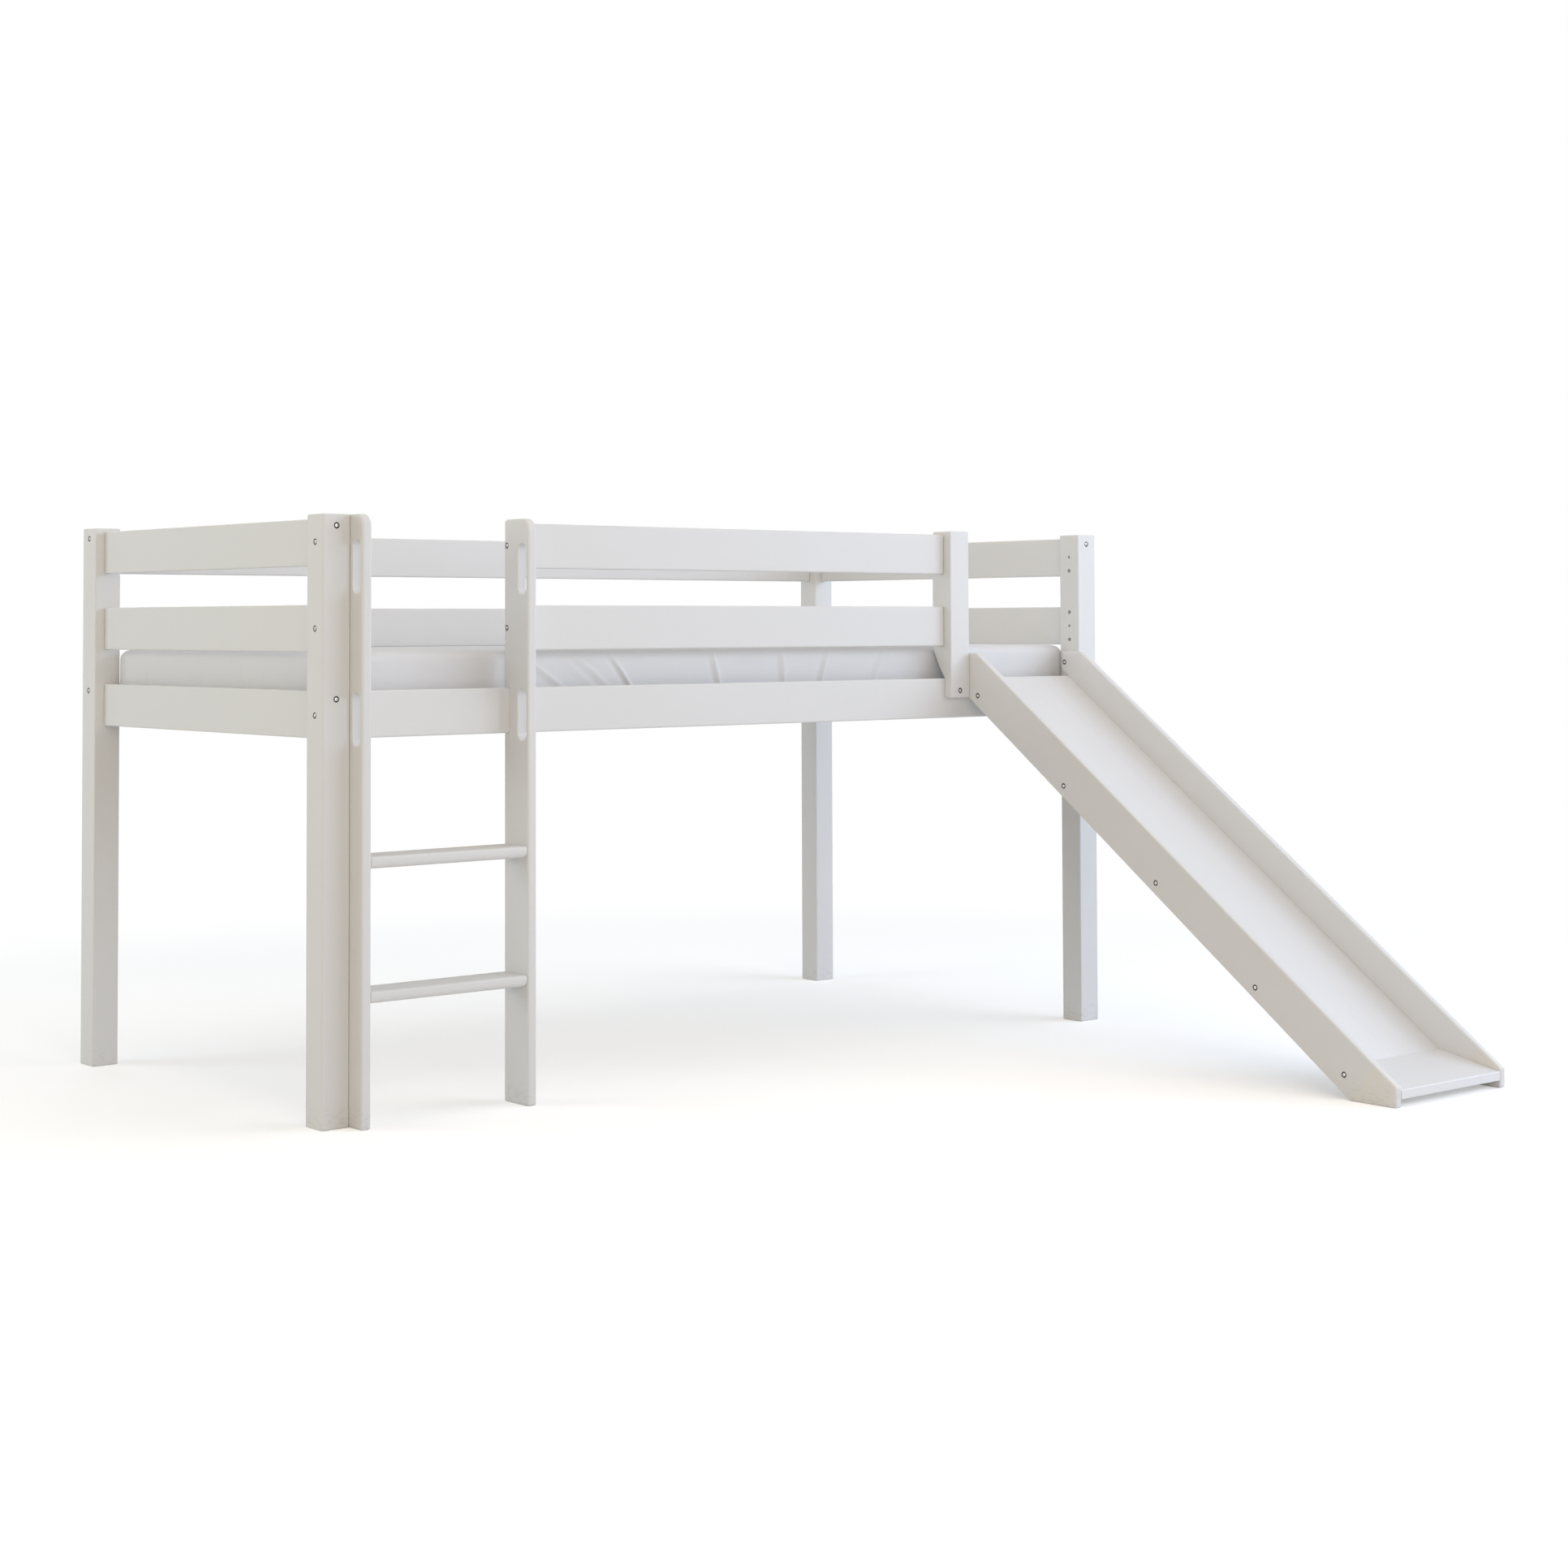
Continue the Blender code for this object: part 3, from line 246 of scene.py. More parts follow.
class LaminateSettings(PropertyGroup):
    """The hard white face of the slide's panel and run-out."""

    dull: tint("Dull Colour", "Colour of the duller spots", (0.80, 0.802, 0.808))
    bright: tint("Bright Colour", "Colour of the brighter spots", (0.82, 0.822, 0.828))
    worn: tint("Worn Colour", "Colour of the streaks that sliding leaves", (0.77, 0.77, 0.775))


class TimberSettings(PropertyGroup):
    """The bare planed wood of the slats and their ledges."""

    pale: tint("Early Wood", "Colour between the rings", (0.76, 0.60, 0.42))
    dark: tint("Late Wood", "Colour of the rings", (0.60, 0.41, 0.24))


class MetalSettings(PropertyGroup):
    """The zinc-plated connector bolts and the slat screws."""

    colour: tint("Colour", "Colour of the plating", (0.90, 0.89, 0.87))
    # The rim colour is partly painted shade of the recess round a head and partly the rim's blackening.
    rim_shade_and_blackening_colour: tint("Rim Colour", "Colour of the blackened rim of a head", (0.06, 0.055, 0.05))
    crown: length("Crown", "How far the middle of a head domes up", 0.0011)
    head_radius: length("Bolt Head Radius", "Radius of a connector bolt's head", 0.0058, 0.001)
    socket_radius: length("Socket Radius", "Radius of the hexagonal socket, at its corners", 0.0029, 0.0005)
    head_sink: length("Head Sink", "How far a bolt's face lies below the wood's face", 0.0004)
    screw_radius: length("Slat Screw Radius", "Radius of a slat screw's head", 0.0036, 0.001)


class MattressSettings(PropertyGroup):
    """The foam mattress in its fitted cover."""

    colour: tint("Colour", "Colour of the knitted cover", (0.815, 0.822, 0.84))
    cell: length("Cell", "Edge of a face of the mesh before it is refined", 0.026, 0.01)
    corner_radius: length("Corner Radius", "Radius of the upright corners", 0.018, 0.005)
    top_radius: length("Top Edge Radius", "Radius of the upper edges", 0.018, 0.005)
    under_radius: length("Lower Edge Radius", "Radius of the lower edges", 0.013, 0.005)
    swell: length("Swell", "How far the foam may push the cover out", 0.0035)
    clearance: length("Clearance", "Least gap between the cover and the wood beside it", 0.0006)
    clear_side: length("Free Bulge", "How far the cover may stand out between the posts", 0.0075)
    knit_pitch: length("Knit Pitch", "Distance between the ribs of the knitted cover", 0.0016, 0.0005)
    frames: IntProperty(
        name="Cloth Frames", description="Frames of cloth simulation that fill the cover", min=1, default=20,
    )


class StudioSettings(PropertyGroup):
    """The camera, the lamps and the pale floor."""

    focal_length: FloatProperty(
        name="Focal Length", description="Focal length of the camera in millimetres",
        unit="CAMERA", min=1, default=60.284,
    )
    camera_place: FloatVectorProperty(
        name="Camera Place", description="Where the camera stands",
        subtype="TRANSLATION", unit="LENGTH", default=(-3.56163, -4.11032, 0.92398),
    )
    camera_turn: FloatVectorProperty(
        name="Camera Turn", description="Euler angles of the camera", subtype="EULER", unit="ROTATION",
        default=[math.radians(angle) for angle in (92.0356, 0.1568, -39.6747)],
    )
    camera_shift: FloatVectorProperty(
        name="Camera Shift", description="Shift of the picture on X and Y",
        size=2, default=(0.03857, -0.16144),
    )
    daylight: FloatProperty(
        name="Daylight", description="Strength of the even light from all round", min=0, default=0.32,
    )
    daylight_colour: tint("Daylight Colour", "Colour of the even light", (1.0, 1.0, 1.0))
    floor_tone: FloatProperty(
        name="Floor Tone", description="How much of the light the camera sees come back from the floor",
        subtype="FACTOR", min=0, max=1, default=1.0,
    )
    floor_glow: FloatProperty(
        name="Floor Glow", description="White that the camera sees on the floor in full shadow",
        subtype="FACTOR", min=0, max=1, default=0.30,
    )
    floor_reach: length("Floor Reach", "Radius within which the floor shows shadows", 3.4, 0.5)


class LoftBedSettings(PropertyGroup):
    """All settings of the loft bed."""

    paint: PointerProperty(type=PaintSettings)
    laminate: PointerProperty(type=LaminateSettings)
    timber: PointerProperty(type=TimberSettings)
    metal: PointerProperty(type=MetalSettings)
    mattress: PointerProperty(type=MattressSettings)
    studio: PointerProperty(type=StudioSettings)


def opaque(colour, share=1.0):
    """A colour, times a share, with full opacity."""
    return (*(Vector(colour) * share), 1.0)


def grey(tone):
    return (tone, tone, tone, 1.0)


def middle_of(node):
    low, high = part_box(node)
    return (low + high) / 2


def set_inputs(tree, made, values):
    for key, value in values.items():
        if isinstance(value, bpy.types.NodeSocket):
            tree.links.new(value, made.inputs[key])
        else:
            made.inputs[key].default_value = value


def add_node(tree, kind, inputs, **settings):
    made = tree.nodes.new(kind)
    for key, value in settings.items():
        setattr(made, key, value)
    set_inputs(tree, made, inputs)
    return made


def calculate(tree, operation, *values):
    return add_node(tree, "ShaderNodeMath", dict(enumerate(values)), operation=operation).outputs[0]


def weighted_sum(tree, values, weights):
    """Adds up values, each times its weight."""
    total = 0.0
    for value, weight in zip(values, weights):
        total = calculate(tree, "MULTIPLY_ADD", value, weight, total)
    return total


def to_share(tree, wave):
    """Carries a wave from -1 to 1 over to values from 0 to 1."""
    return calculate(tree, "MULTIPLY_ADD", wave, 0.5, 0.5)


def vector_step(tree, operation, *values):
    return add_node(tree, "ShaderNodeVectorMath", dict(enumerate(values)), operation=operation).outputs[0]


def length_of(tree, vector):
    return add_node(tree, "ShaderNodeVectorMath", {0: vector}, operation="LENGTH").outputs["Value"]


def split(tree, vector):
    return add_node(tree, "ShaderNodeSeparateXYZ", {0: vector}).outputs


def blend_colour(tree, share, first, second):
    inputs = {0: share, 6: first, 7: second}
    return add_node(tree, "ShaderNodeMix", inputs, data_type="RGBA").outputs[2]


def cover_colour(tree, colour, mask, share, upper):
    """Lays an upper colour over a colour where a mask is, with a share of full cover."""
    return blend_colour(tree, calculate(tree, "MULTIPLY", mask, share), colour, upper)


def remap(tree, value, given, wanted, smooth=False):
    """Carries values from one span over to another and holds them at its ends."""
    inputs = dict(enumerate((value, *given, *wanted)))
    kind = "SMOOTHSTEP" if smooth else "LINEAR"
    return add_node(tree, "ShaderNodeMapRange", inputs, interpolation_type=kind).outputs[0]


def texture(tree, place, scale, detail=2.0, roughness=0.5, warp=0.0):
    """Noise at a place, whose scale is one number or one for each axis."""
    if isinstance(scale, tuple):
        place = vector_step(tree, "MULTIPLY", place, scale)
        scale = 1.0
    inputs = {"Vector": place, "Scale": scale, "Detail": detail, "Roughness": roughness, "Distortion": warp}
    return add_node(tree, "ShaderNodeTexNoise", inputs).outputs[0]


def stretched(axis, share=GRAIN_STRETCH):
    """Scales that draw a texture out along one axis."""
    return tuple(share if index == axis else 1.0 for index in range(3))


def object_place(tree):
    return tree.nodes.new("ShaderNodeTexCoord").outputs["Object"]


def placed_round(tree, centre, turn):
    """Object coordinates round a centre, turned to lie along a sloping or crosswise board."""
    inputs = {"Vector": object_place(tree), "Location": centre, "Rotation": turn}
    return add_node(tree, "ShaderNodeMapping", inputs, vector_type="TEXTURE").outputs[0]


def new_group(name, inputs, outputs):
    """An empty shader group of a place and other inputs. Returns its tree, its inputs and its end."""
    tree = bpy.data.node_groups.new(name, "ShaderNodeTree")
    for label, value in {"Place": ORIGIN, **inputs}.items():
        kind = "NodeSocketVector" if isinstance(value, tuple) else "NodeSocketFloat"
        tree.interface.new_socket(name=label, in_out="INPUT", socket_type=kind).default_value = value
    for label in outputs:
        tree.interface.new_socket(name=label, in_out="OUTPUT", socket_type="NodeSocketFloat")
    return tree, tree.nodes.new("NodeGroupInput").outputs, tree.nodes.new("NodeGroupOutput")


def use_group(tree, name, values):
    made = tree.nodes.new("ShaderNodeGroup")
    made.node_tree = bpy.data.node_groups[name]
    set_inputs(tree, made, values)
    return made.outputs


def build_edge_wear():
    """A mask along the twelve edges of a board with this centre and half size."""
    inputs = {"Centre": ORIGIN, "Half Size": (0.1, 0.1, 0.1), "Width": 0.002}
    tree, given, end = new_group("edge_wear", inputs, ("Mask",))
    away = vector_step(tree, "ABSOLUTE", vector_step(tree, "SUBTRACT", given["Place"], given["Centre"]))
    x, y, z = split(tree, vector_step(tree, "SUBTRACT", given["Half Size"], away))
    near = calculate(tree, "MINIMUM", x, y)
    far = calculate(tree, "MAXIMUM", x, y)
    second = calculate(tree, "MAXIMUM", near, calculate(tree, "MINIMUM", far, z))
    waver = texture(tree, given["Place"], scale=34.0, detail=4.0, roughness=0.6)
    width = calculate(tree, "MULTIPLY", given["Width"], remap(tree, waver, NOISE, EDGE_WAVER))
    set_inputs(tree, end, {"Mask": remap(tree, second, (0.0, width), FALLING, smooth=True)})


def build_paint_film():
    """Sprayed paint over wood: soft mottle, grain that shows through, and orange peel."""
    tree, given, end = new_group("paint_film", {"Stretch": (1, 1, 1)}, ("Mottle", "Gloss", "Height"))
    grain_place = vector_step(tree, "MULTIPLY", given["Place"], given["Stretch"])
    mottle = texture(tree, given["Place"], scale=11.0, detail=5.0, roughness=0.62)
    grain = texture(tree, grain_place, scale=150.0, detail=4.0, roughness=0.6, warp=0.4)
    ridges = texture(tree, grain_place, scale=620.0)
    peel = texture(tree, given["Place"], scale=780.0, detail=1.0)
    height = weighted_sum(tree, (grain, ridges, peel), RELIEF_SHARES)
    gloss = weighted_sum(tree, (mottle, grain), (1 - GRAIN_GLOSS_SHARE, GRAIN_GLOSS_SHARE))
    set_inputs(tree, end, {"Mottle": mottle, "Gloss": gloss, "Height": height})


def build_floor_scuff():
    """Grey rub marks that thin out over the lowest few centimetres."""
    tree, given, end = new_group("floor_scuff", {"Reach": 0.06}, ("Mask",))
    low = remap(tree, split(tree, given["Place"])[2], (0.0, given["Reach"]), FALLING, smooth=True)
    marks = texture(tree, given["Place"], scale=(60.0, 60.0, 220.0), detail=4.0, roughness=0.7)
    marks = remap(tree, marks, RUB_MARK_SPAN, RISING, smooth=True)
    set_inputs(tree, end, {"Mask": calculate(tree, "MULTIPLY", low, marks)})


def build_pine_figure():
    """Rings, pores and a slow change of tone of a planed softwood board whose grain runs along Y."""
    tree, given, end = new_group("pine_figure", {}, ("Rings", "Pores", "Tone"))
    long_place = vector_step(tree, "MULTIPLY", given["Place"], stretched(1, RING_STRETCH))
    bend = texture(tree, given["Place"], scale=(5.0, 0.9, 5.0))
    phase = weighted_sum(tree, (bend, split(tree, long_place)[0]), (RING_BEND, RING_RATE))
    rings = calculate(tree, "POWER", to_share(tree, calculate(tree, "SINE", phase)), RING_SHARPNESS)
    pore_place = vector_step(tree, "MULTIPLY", given["Place"], stretched(1, PORE_STRETCH))
    pores = remap(tree, texture(tree, pore_place, scale=1500.0), PORE_SPAN, RISING)
    tone = texture(tree, long_place, scale=9.0, detail=3.0)
    set_inputs(tree, end, {"Rings": rings, "Pores": pores, "Tone": tone})


def build_turned_metal():
    """Lathe rings, a domed crown and a rim of painted recess shade and blackening, by the distance from an
    axis, and fine scratches.
    """
    inputs = {"From Axis": 0.0, "Radius": 0.0058, "Pitch": 0.0006}
    outputs = ("Rings", "Scratches", "Blackened", "Crown")
    tree, given, end = new_group("turned_metal", inputs, outputs)
    turned = calculate(tree, "MULTIPLY", given["From Axis"], math.tau)
    rings = to_share(tree, calculate(tree, "SINE", calculate(tree, "DIVIDE", turned, given["Pitch"])))
    scratches = texture(tree, given["Place"], scale=(900.0, 250.0, 900.0), detail=5.0, roughness=0.7)
    reach = calculate(tree, "DIVIDE", given["From Axis"], given["Radius"])
    blackened_and_painted_shade = remap(tree, reach, RIM_SHADE_AND_BLACKENING_SHARES, RISING, smooth=True)
    crown = calculate(tree, "SUBTRACT", 1.0, calculate(tree, "MULTIPLY", reach, reach))
    set_inputs(tree, end, dict(zip(outputs, (rings, scratches, blackened_and_painted_shade, crown))))


def build_jersey_knit():
    """Fine ribs and courses of a knitted cover, and the soft unevenness of worn cotton."""
    tree, given, end = new_group("jersey_knit", {"Pitch": 0.0016}, ("Stitches", "Tone", "Lint"))
    per_metre = calculate(tree, "DIVIDE", math.tau, given["Pitch"])
    scaling = {0: given["Place"], "Scale": per_metre}
    turns = add_node(tree, "ShaderNodeVectorMath", scaling, operation="SCALE").outputs[0]
    x, y, z = split(tree, turns)
    waver = texture(tree, given["Place"], scale=40.0)
    across = calculate(tree, "ADD", x, y)
    ribs = calculate(tree, "SINE", calculate(tree, "MULTIPLY_ADD", waver, RIB_WAVER, across))
    lean = calculate(tree, "SUBTRACT", y, x)
    courses = calculate(tree, "SINE", calculate(tree, "MULTIPLY_ADD", lean, COURSE_LEAN, z))
    stitches = to_share(tree, calculate(tree, "MULTIPLY", ribs, courses))
    tone = texture(tree, given["Place"], scale=14.0, detail=5.0, roughness=0.6)
    lint = texture(tree, given["Place"], scale=2600.0, detail=1.0)
    set_inputs(tree, end, {"Stitches": stitches, "Tone": tone, "Lint": lint})


def build_groups():
    build_edge_wear()
    build_paint_film()
    build_floor_scuff()
    build_pine_figure()
    build_turned_metal()
    build_jersey_knit()


def new_material(name):
    """A material with a Principled shader. Returns it, its tree and the shader."""
    material = bpy.data.materials.new(name)
    material.use_nodes = True
    tree = material.node_tree
    return material, tree, tree.nodes["Principled BSDF"]


def set_surface(tree, shader, colour, rough, specular):
    values = {"Base Color": colour, "Roughness": rough, "Specular IOR Level": specular}
    set_inputs(tree, shader, values)


def give_bump(tree, shader, height, distance, strength=1.0):
    bump = add_node(tree, "ShaderNodeBump", {"Height": height, "Strength": strength, "Distance": distance})
    set_inputs(tree, shader, {"Normal": bump.outputs[0]})


def wear_material(node, material):
    """Puts one material on a CAD node's object."""
    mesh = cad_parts[node].data
    mesh.materials.clear()
    mesh.materials.append(material)


def paint_material(node, axis, settings, centre=None, turn=0.0, half=None):
    """Satin white paint on one board, whose grain runs along an axis and whose slope is a turn about X."""
    material, tree, shader = new_material("satin_paint_" + node)
    low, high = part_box(node)
    local = placed_round(tree, centre or (low + high) / 2, (turn, 0.0, 0.0))
    film = use_group(tree, "paint_film", {"Place": local, "Stretch": stretched(axis)})
    edge_values = {"Place": local, "Half Size": half or (high - low) / 2, "Width": settings.edge_width}
    edge = use_group(tree, "edge_wear", edge_values)["Mask"]
    scuff = use_group(tree, "floor_scuff", {"Place": object_place(tree)})["Mask"]
    base = settings.colour
    faint, full = opaque(base, 1 - PAINT_CONTRAST), opaque(base, 1 + PAINT_CONTRAST)
    colour = blend_colour(tree, film["Mottle"], faint, full)
    colour = cover_colour(tree, colour, edge, THIN_PAINT_COVER, opaque(settings.edge_colour))
    colour = cover_colour(tree, colour, scuff, RUB_MARK_COVER, opaque(base, RUB_MARK_TONE))
    spread = tuple(settings.roughness + step for step in GLOSS_SPREAD)
    rough = remap(tree, film["Gloss"], MID_NOISE, spread)
    rough = calculate(tree, "MULTIPLY_ADD", edge, EDGE_POLISH, rough)
    set_surface(tree, shader, colour, rough, specular=0.45)
    give_bump(tree, shader, film["Height"], settings.grain_depth, strength=0.6)
    return material


class LOFTBED_OT_paint_frame(Operator):
    """Give the posts, rails, ladder and guard rails their satin white paint"""

    bl_idname = "loftbed.paint_frame"
    bl_label = "Paint Frame"

    def execute(self, context):
        settings = context.scene.loft_bed.paint
        for axis, names in enumerate((LONG_BOARDS, END_BOARDS, UPRIGHTS)):
            for name in names:
                wear_material(name, paint_material(name, axis, settings))
        return {"FINISHED"}


class LOFTBED_OT_finish_slide(Operator):
    """Paint the slide's side boards and give its panel and run-out their smooth sliding face"""

    bl_idname = "loftbed.finish_slide"
    bl_label = "Finish Slide"

    def execute(self, context):
        settings = context.scene.loft_bed
        upper, lower = middle_of("bolt_slide_1"), middle_of("bolt_slide_4")
        middle = (upper + lower) / 2
        turn = math.atan2(upper.z - lower.z, upper.y - lower.y)
        rise = Vector((0, -math.sin(turn), math.cos(turn))) * BOLTS_TO_BOARD_MIDDLE
        panel_low, panel_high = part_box("slide_panel")
        reach = (panel_high - panel_low).length / 2 * BOARD_OVERRUN_SHARE
        for name in SLIDE_BOARDS:
            low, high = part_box(name)
            centre = Vector(((low.x + high.x) / 2, middle.y, middle.z)) + rise
            half = ((high.x - low.x) / 2, reach, BOARD_HALF_WIDTH)
            wear_material(name, paint_material(name, 1, settings.paint, centre, turn, half))
        for name, lean, painted_light_lift in (("slide_panel", turn, 1.0), ("slide_runout", 0.0, RUNOUT_PAINTED_LIGHT)):
            wear_material(name, self.sliding_face(name, lean, painted_light_lift, settings.laminate))
        return {"FINISHED"}

    def sliding_face(self, name, turn, painted_light_lift, settings):
        """Hard white laminate with a lane down its middle that sliding has polished."""
        material, tree, shader = new_material("laminate_" + name)
        local = placed_round(tree, middle_of(name), (turn, 0.0, 0.0))
        film = use_group(tree, "paint_film", {"Place": local, "Stretch": stretched(1, LAMINATE_STRETCH)})
        from_middle = calculate(tree, "ABSOLUTE", split(tree, local)[0])
        lane = remap(tree, from_middle, LANE_EDGE, FALLING, smooth=True)
        streaks = texture(tree, local, scale=(420.0, 5.0, 420.0), detail=4.0, roughness=0.65)
        streaks = calculate(tree, "MULTIPLY", lane, remap(tree, streaks, STREAK_SPAN, RISING))
        # A lift above 1 makes a paler copy of the same laminate: painted light.
        dull, bright = opaque(settings.dull, painted_light_lift), opaque(settings.bright, painted_light_lift)
        colour = blend_colour(tree, film["Mottle"], dull, bright)
        colour = cover_colour(tree, colour, streaks, STREAK_COVER, opaque(settings.worn))
        rough = remap(tree, film["Gloss"], MID_NOISE, LAMINATE_ROUGHNESS)
        rough = calculate(tree, "MULTIPLY_ADD", streaks, STREAK_POLISH, rough)
        set_surface(tree, shader, colour, rough, specular=0.5)
        give_bump(tree, shader, film["Height"], LAMINATE_RELIEF, strength=0.5)
        return material


class LOFTBED_OT_plane_slats(Operator):
    """Give the slats and ledges their bare planed pine"""

    bl_idname = "loftbed.plane_slats"
    bl_label = "Plane Slats"

    def execute(self, context):
        settings = context.scene.loft_bed.timber
        for index, name in enumerate(SLAT_BASE):
            wear_material(name, self.bare_pine(name, index, settings))
        return {"FINISHED"}

    def bare_pine(self, name, index, settings):
        material, tree, shader = new_material("bare_pine_" + name)
        low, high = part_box(name)
        centre = (low + high) / 2
        turn = math.pi / 2 if name in LEDGES else 0.0
        local = placed_round(tree, centre + FIGURE_SHIFT * index, (0.0, 0.0, turn))
        figure = use_group(tree, "pine_figure", {"Place": local})
        edge_values = {"Place": object_place(tree), "Centre": centre, "Half Size": (high - low) / 2}
        edge = use_group(tree, "edge_wear", edge_values)["Mask"]
        pale, dark = settings.pale, settings.dark
        colour = cover_colour(tree, opaque(pale), figure["Rings"], RING_COVER, opaque(dark))
        tone = remap(tree, figure["Tone"], NOISE, (0.0, LIFTED_COVER))
        colour = blend_colour(tree, tone, colour, opaque(pale, LIFTED_TONE))
        colour = cover_colour(tree, colour, figure["Pores"], PORE_COVER, opaque(dark, PORE_TONE))
        colour = cover_colour(tree, colour, edge, EDGE_COVER, opaque(pale))
        rough = remap(tree, figure["Rings"], RISING, PINE_ROUGHNESS)
        set_surface(tree, shader, colour, rough, specular=0.35)
        height = calculate(tree, "SUBTRACT", figure["Rings"], figure["Pores"])
        give_bump(tree, shader, height, PINE_RELIEF, strength=0.5)
        return material


def plated_steel(name, radius, settings, face_centre=None):
    """Zinc-plated steel, turned round the middle of its face or, on many heads, round each one's axis."""
    material, tree, shader = new_material(name)
    place = object_place(tree)
    if face_centre is None:
        from_axis = add_node(tree, "ShaderNodeAttribute", {}, attribute_name=FROM_AXIS).outputs["Fac"]
    else:
        from_axis = length_of(tree, vector_step(tree, "SUBTRACT", place, face_centre))
    turned = use_group(tree, "turned_metal", {"Place": place, "From Axis": from_axis, "Radius": radius})
    base = settings.colour
    dull, bright = opaque(base, 1 - PLATING_CONTRAST), opaque(base, 1 + PLATING_CONTRAST)
    colour = blend_colour(tree, turned["Scratches"], dull, bright)
    # Darkens the rim with painted shade of the recess round the head, over its blackening.
    colour = blend_colour(tree, turned["Blackened"], colour, opaque(settings.rim_shade_and_blackening_colour))
    rough = remap(tree, turned["Scratches"], NOISE, PLATING_ROUGHNESS)
    rough = calculate(tree, "MULTIPLY_ADD", turned["Rings"], RING_ROUGHNESS, rough)
    set_inputs(tree, shader, {"Base Color": colour, "Roughness": rough, "Metallic": 1.0})
    height = weighted_sum(tree, (turned["Rings"], turned["Crown"]), (RING_DEPTH, settings.crown))
    give_bump(tree, shader, height, 1.0)
    return material


class LOFTBED_OT_plate_bolts(Operator):
    """Give the connector bolts their zinc plating"""

    bl_idname = "loftbed.plate_bolts"
    bl_label = "Plate Bolts"

    def execute(self, context):
        settings = context.scene.loft_bed.metal
        for name in BOLTS:
            low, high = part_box(name)
            face_centre = (low + high) / 2
            axis = max(range(3), key=lambda index: high[index] - low[index])
            face_centre[axis] = low[axis]
            wear_material(name, plated_steel("zinc_" + name, settings.head_radius, settings, face_centre))
        return {"FINISHED"}


def mesh_of(name, shape):
    """Turns a bmesh into a mesh and frees it."""
    mesh = bpy.data.meshes.new(name)
    shape.to_mesh(mesh)
    shape.free()
    return mesh


def link_object(name, data):
    made = bpy.data.objects.new(name, data)
    bpy.context.scene.collection.objects.link(made)
    return made


def link_piece(name, shape, material, body):
    """Makes an object of a bmesh that is already in place, and has it ride on a body."""
    mesh = mesh_of(name, shape)
    mesh.materials.append(material)
    piece = link_object(name, mesh)
    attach(piece, body)
    return piece


def fastener_head(radius, height, socket):
    """A mesh of one head with a rounded rim and a hexagonal socket, its face on the ground plane."""
    shape = bmesh.new()
    size = {"radius1": radius, "radius2": radius, "depth": height}
    bmesh.ops.create_cone(shape, cap_ends=True, segments=HEAD_SIDES, **size)
    bmesh.ops.translate(shape, verts=shape.verts, vec=(0, 0, -height / 2))
    top = max(shape.faces, key=lambda face: face.calc_center_median().z)
    rim = list(top.edges)
    bmesh.ops.inset_individual(shape, faces=[top], thickness=radius - socket)
    half_side = math.pi / 6
    for vert in top.verts:
        turn = math.atan2(vert.co.y, vert.co.x) % (2 * half_side) - half_side
        vert.co.xy = vert.co.xy.normalized() * socket * math.cos(half_side) / math.cos(turn)
    sunk = bmesh.ops.extrude_discrete_faces(shape, faces=[top])["faces"][0]
    bmesh.ops.translate(shape, verts=list(sunk.verts), vec=(0, 0, -height * SOCKET_DEPTH_SHARE))
    bmesh.ops.bevel(
        shape, geom=rim, offset=height * RIM_SHARE, offset_type="OFFSET", affect="EDGES",
        segments=RIM_SEGMENTS, profile=0.5, material=-1,
    )
    bmesh.ops.recalc_face_normals(shape, faces=shape.faces)
    from_axis = shape.verts.layers.float.new(FROM_AXIS)
    for vert in shape.verts:
        vert[from_axis] = vert.co.xy.length
    return mesh_of("fastener_head", shape)


def add_heads(head, places):
    """A bmesh with one head at each face point, turned to face outwards."""
    shape = bmesh.new()
    for point, outwards in places:
        shape.from_mesh(head)
        shape.verts.ensure_lookup_table()
        turn = Vector(ALONG_Z).rotation_difference(Vector(outwards)).to_matrix().to_4x4()
        fresh = shape.verts[-len(head.vertices) :]
        bmesh.ops.transform(shape, matrix=Matrix.Translation(point) @ turn, verts=fresh)
    bpy.data.meshes.remove(head)
    return shape


class LOFTBED_OT_add_far_bolts(Operator):
    """Add the connector bolts on the rear faces, the right end and the slide's outer side"""

    bl_idname = "loftbed.add_far_bolts"
    bl_label = "Add Far Bolts"

    def places(self, sink):
        """Face points and outward directions of the bores that hold no CAD bolt."""
        found = []
        for side in SIDES:
            post = "post_rear_" + side
            for level in RAIL_LEVELS:
                height = middle_of(side + "_end_rail_" + level).z
                point = Vector((middle_of(post).x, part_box(post)[1].y - sink, height))
                found.append((point, ALONG_Y))
        post = "post_rear_right"
        sideways = [(post, post, "bolt_rear_left_" + level) for level in ("top", "low")]
        sideways.append((post, "post_front_right", "front_rail_low"))
        sideways += [("guard_post", rail, rail) for rail in GUARD_RAILS]
        bolts = (name for name in BOLTS if name.startswith("bolt_slide_") and "head" not in name)
        sideways += [("slide_board_right", bolt, bolt) for bolt in bolts]
        for face, across, level in sideways:
            point = Vector((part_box(face)[1].x - sink, middle_of(across).y, middle_of(level).z))
            found.append((point, ALONG_X))
        return found

    def execute(self, context):
        settings = context.scene.loft_bed.metal
        head = fastener_head(settings.head_radius, HEAD_HEIGHT, settings.socket_radius)
        shape = add_heads(head, self.places(settings.head_sink))
        material = plated_steel("zinc_far_bolts", settings.head_radius, settings)
        link_piece("far_bolts", shape, material, "frame")
        return {"FINISHED"}


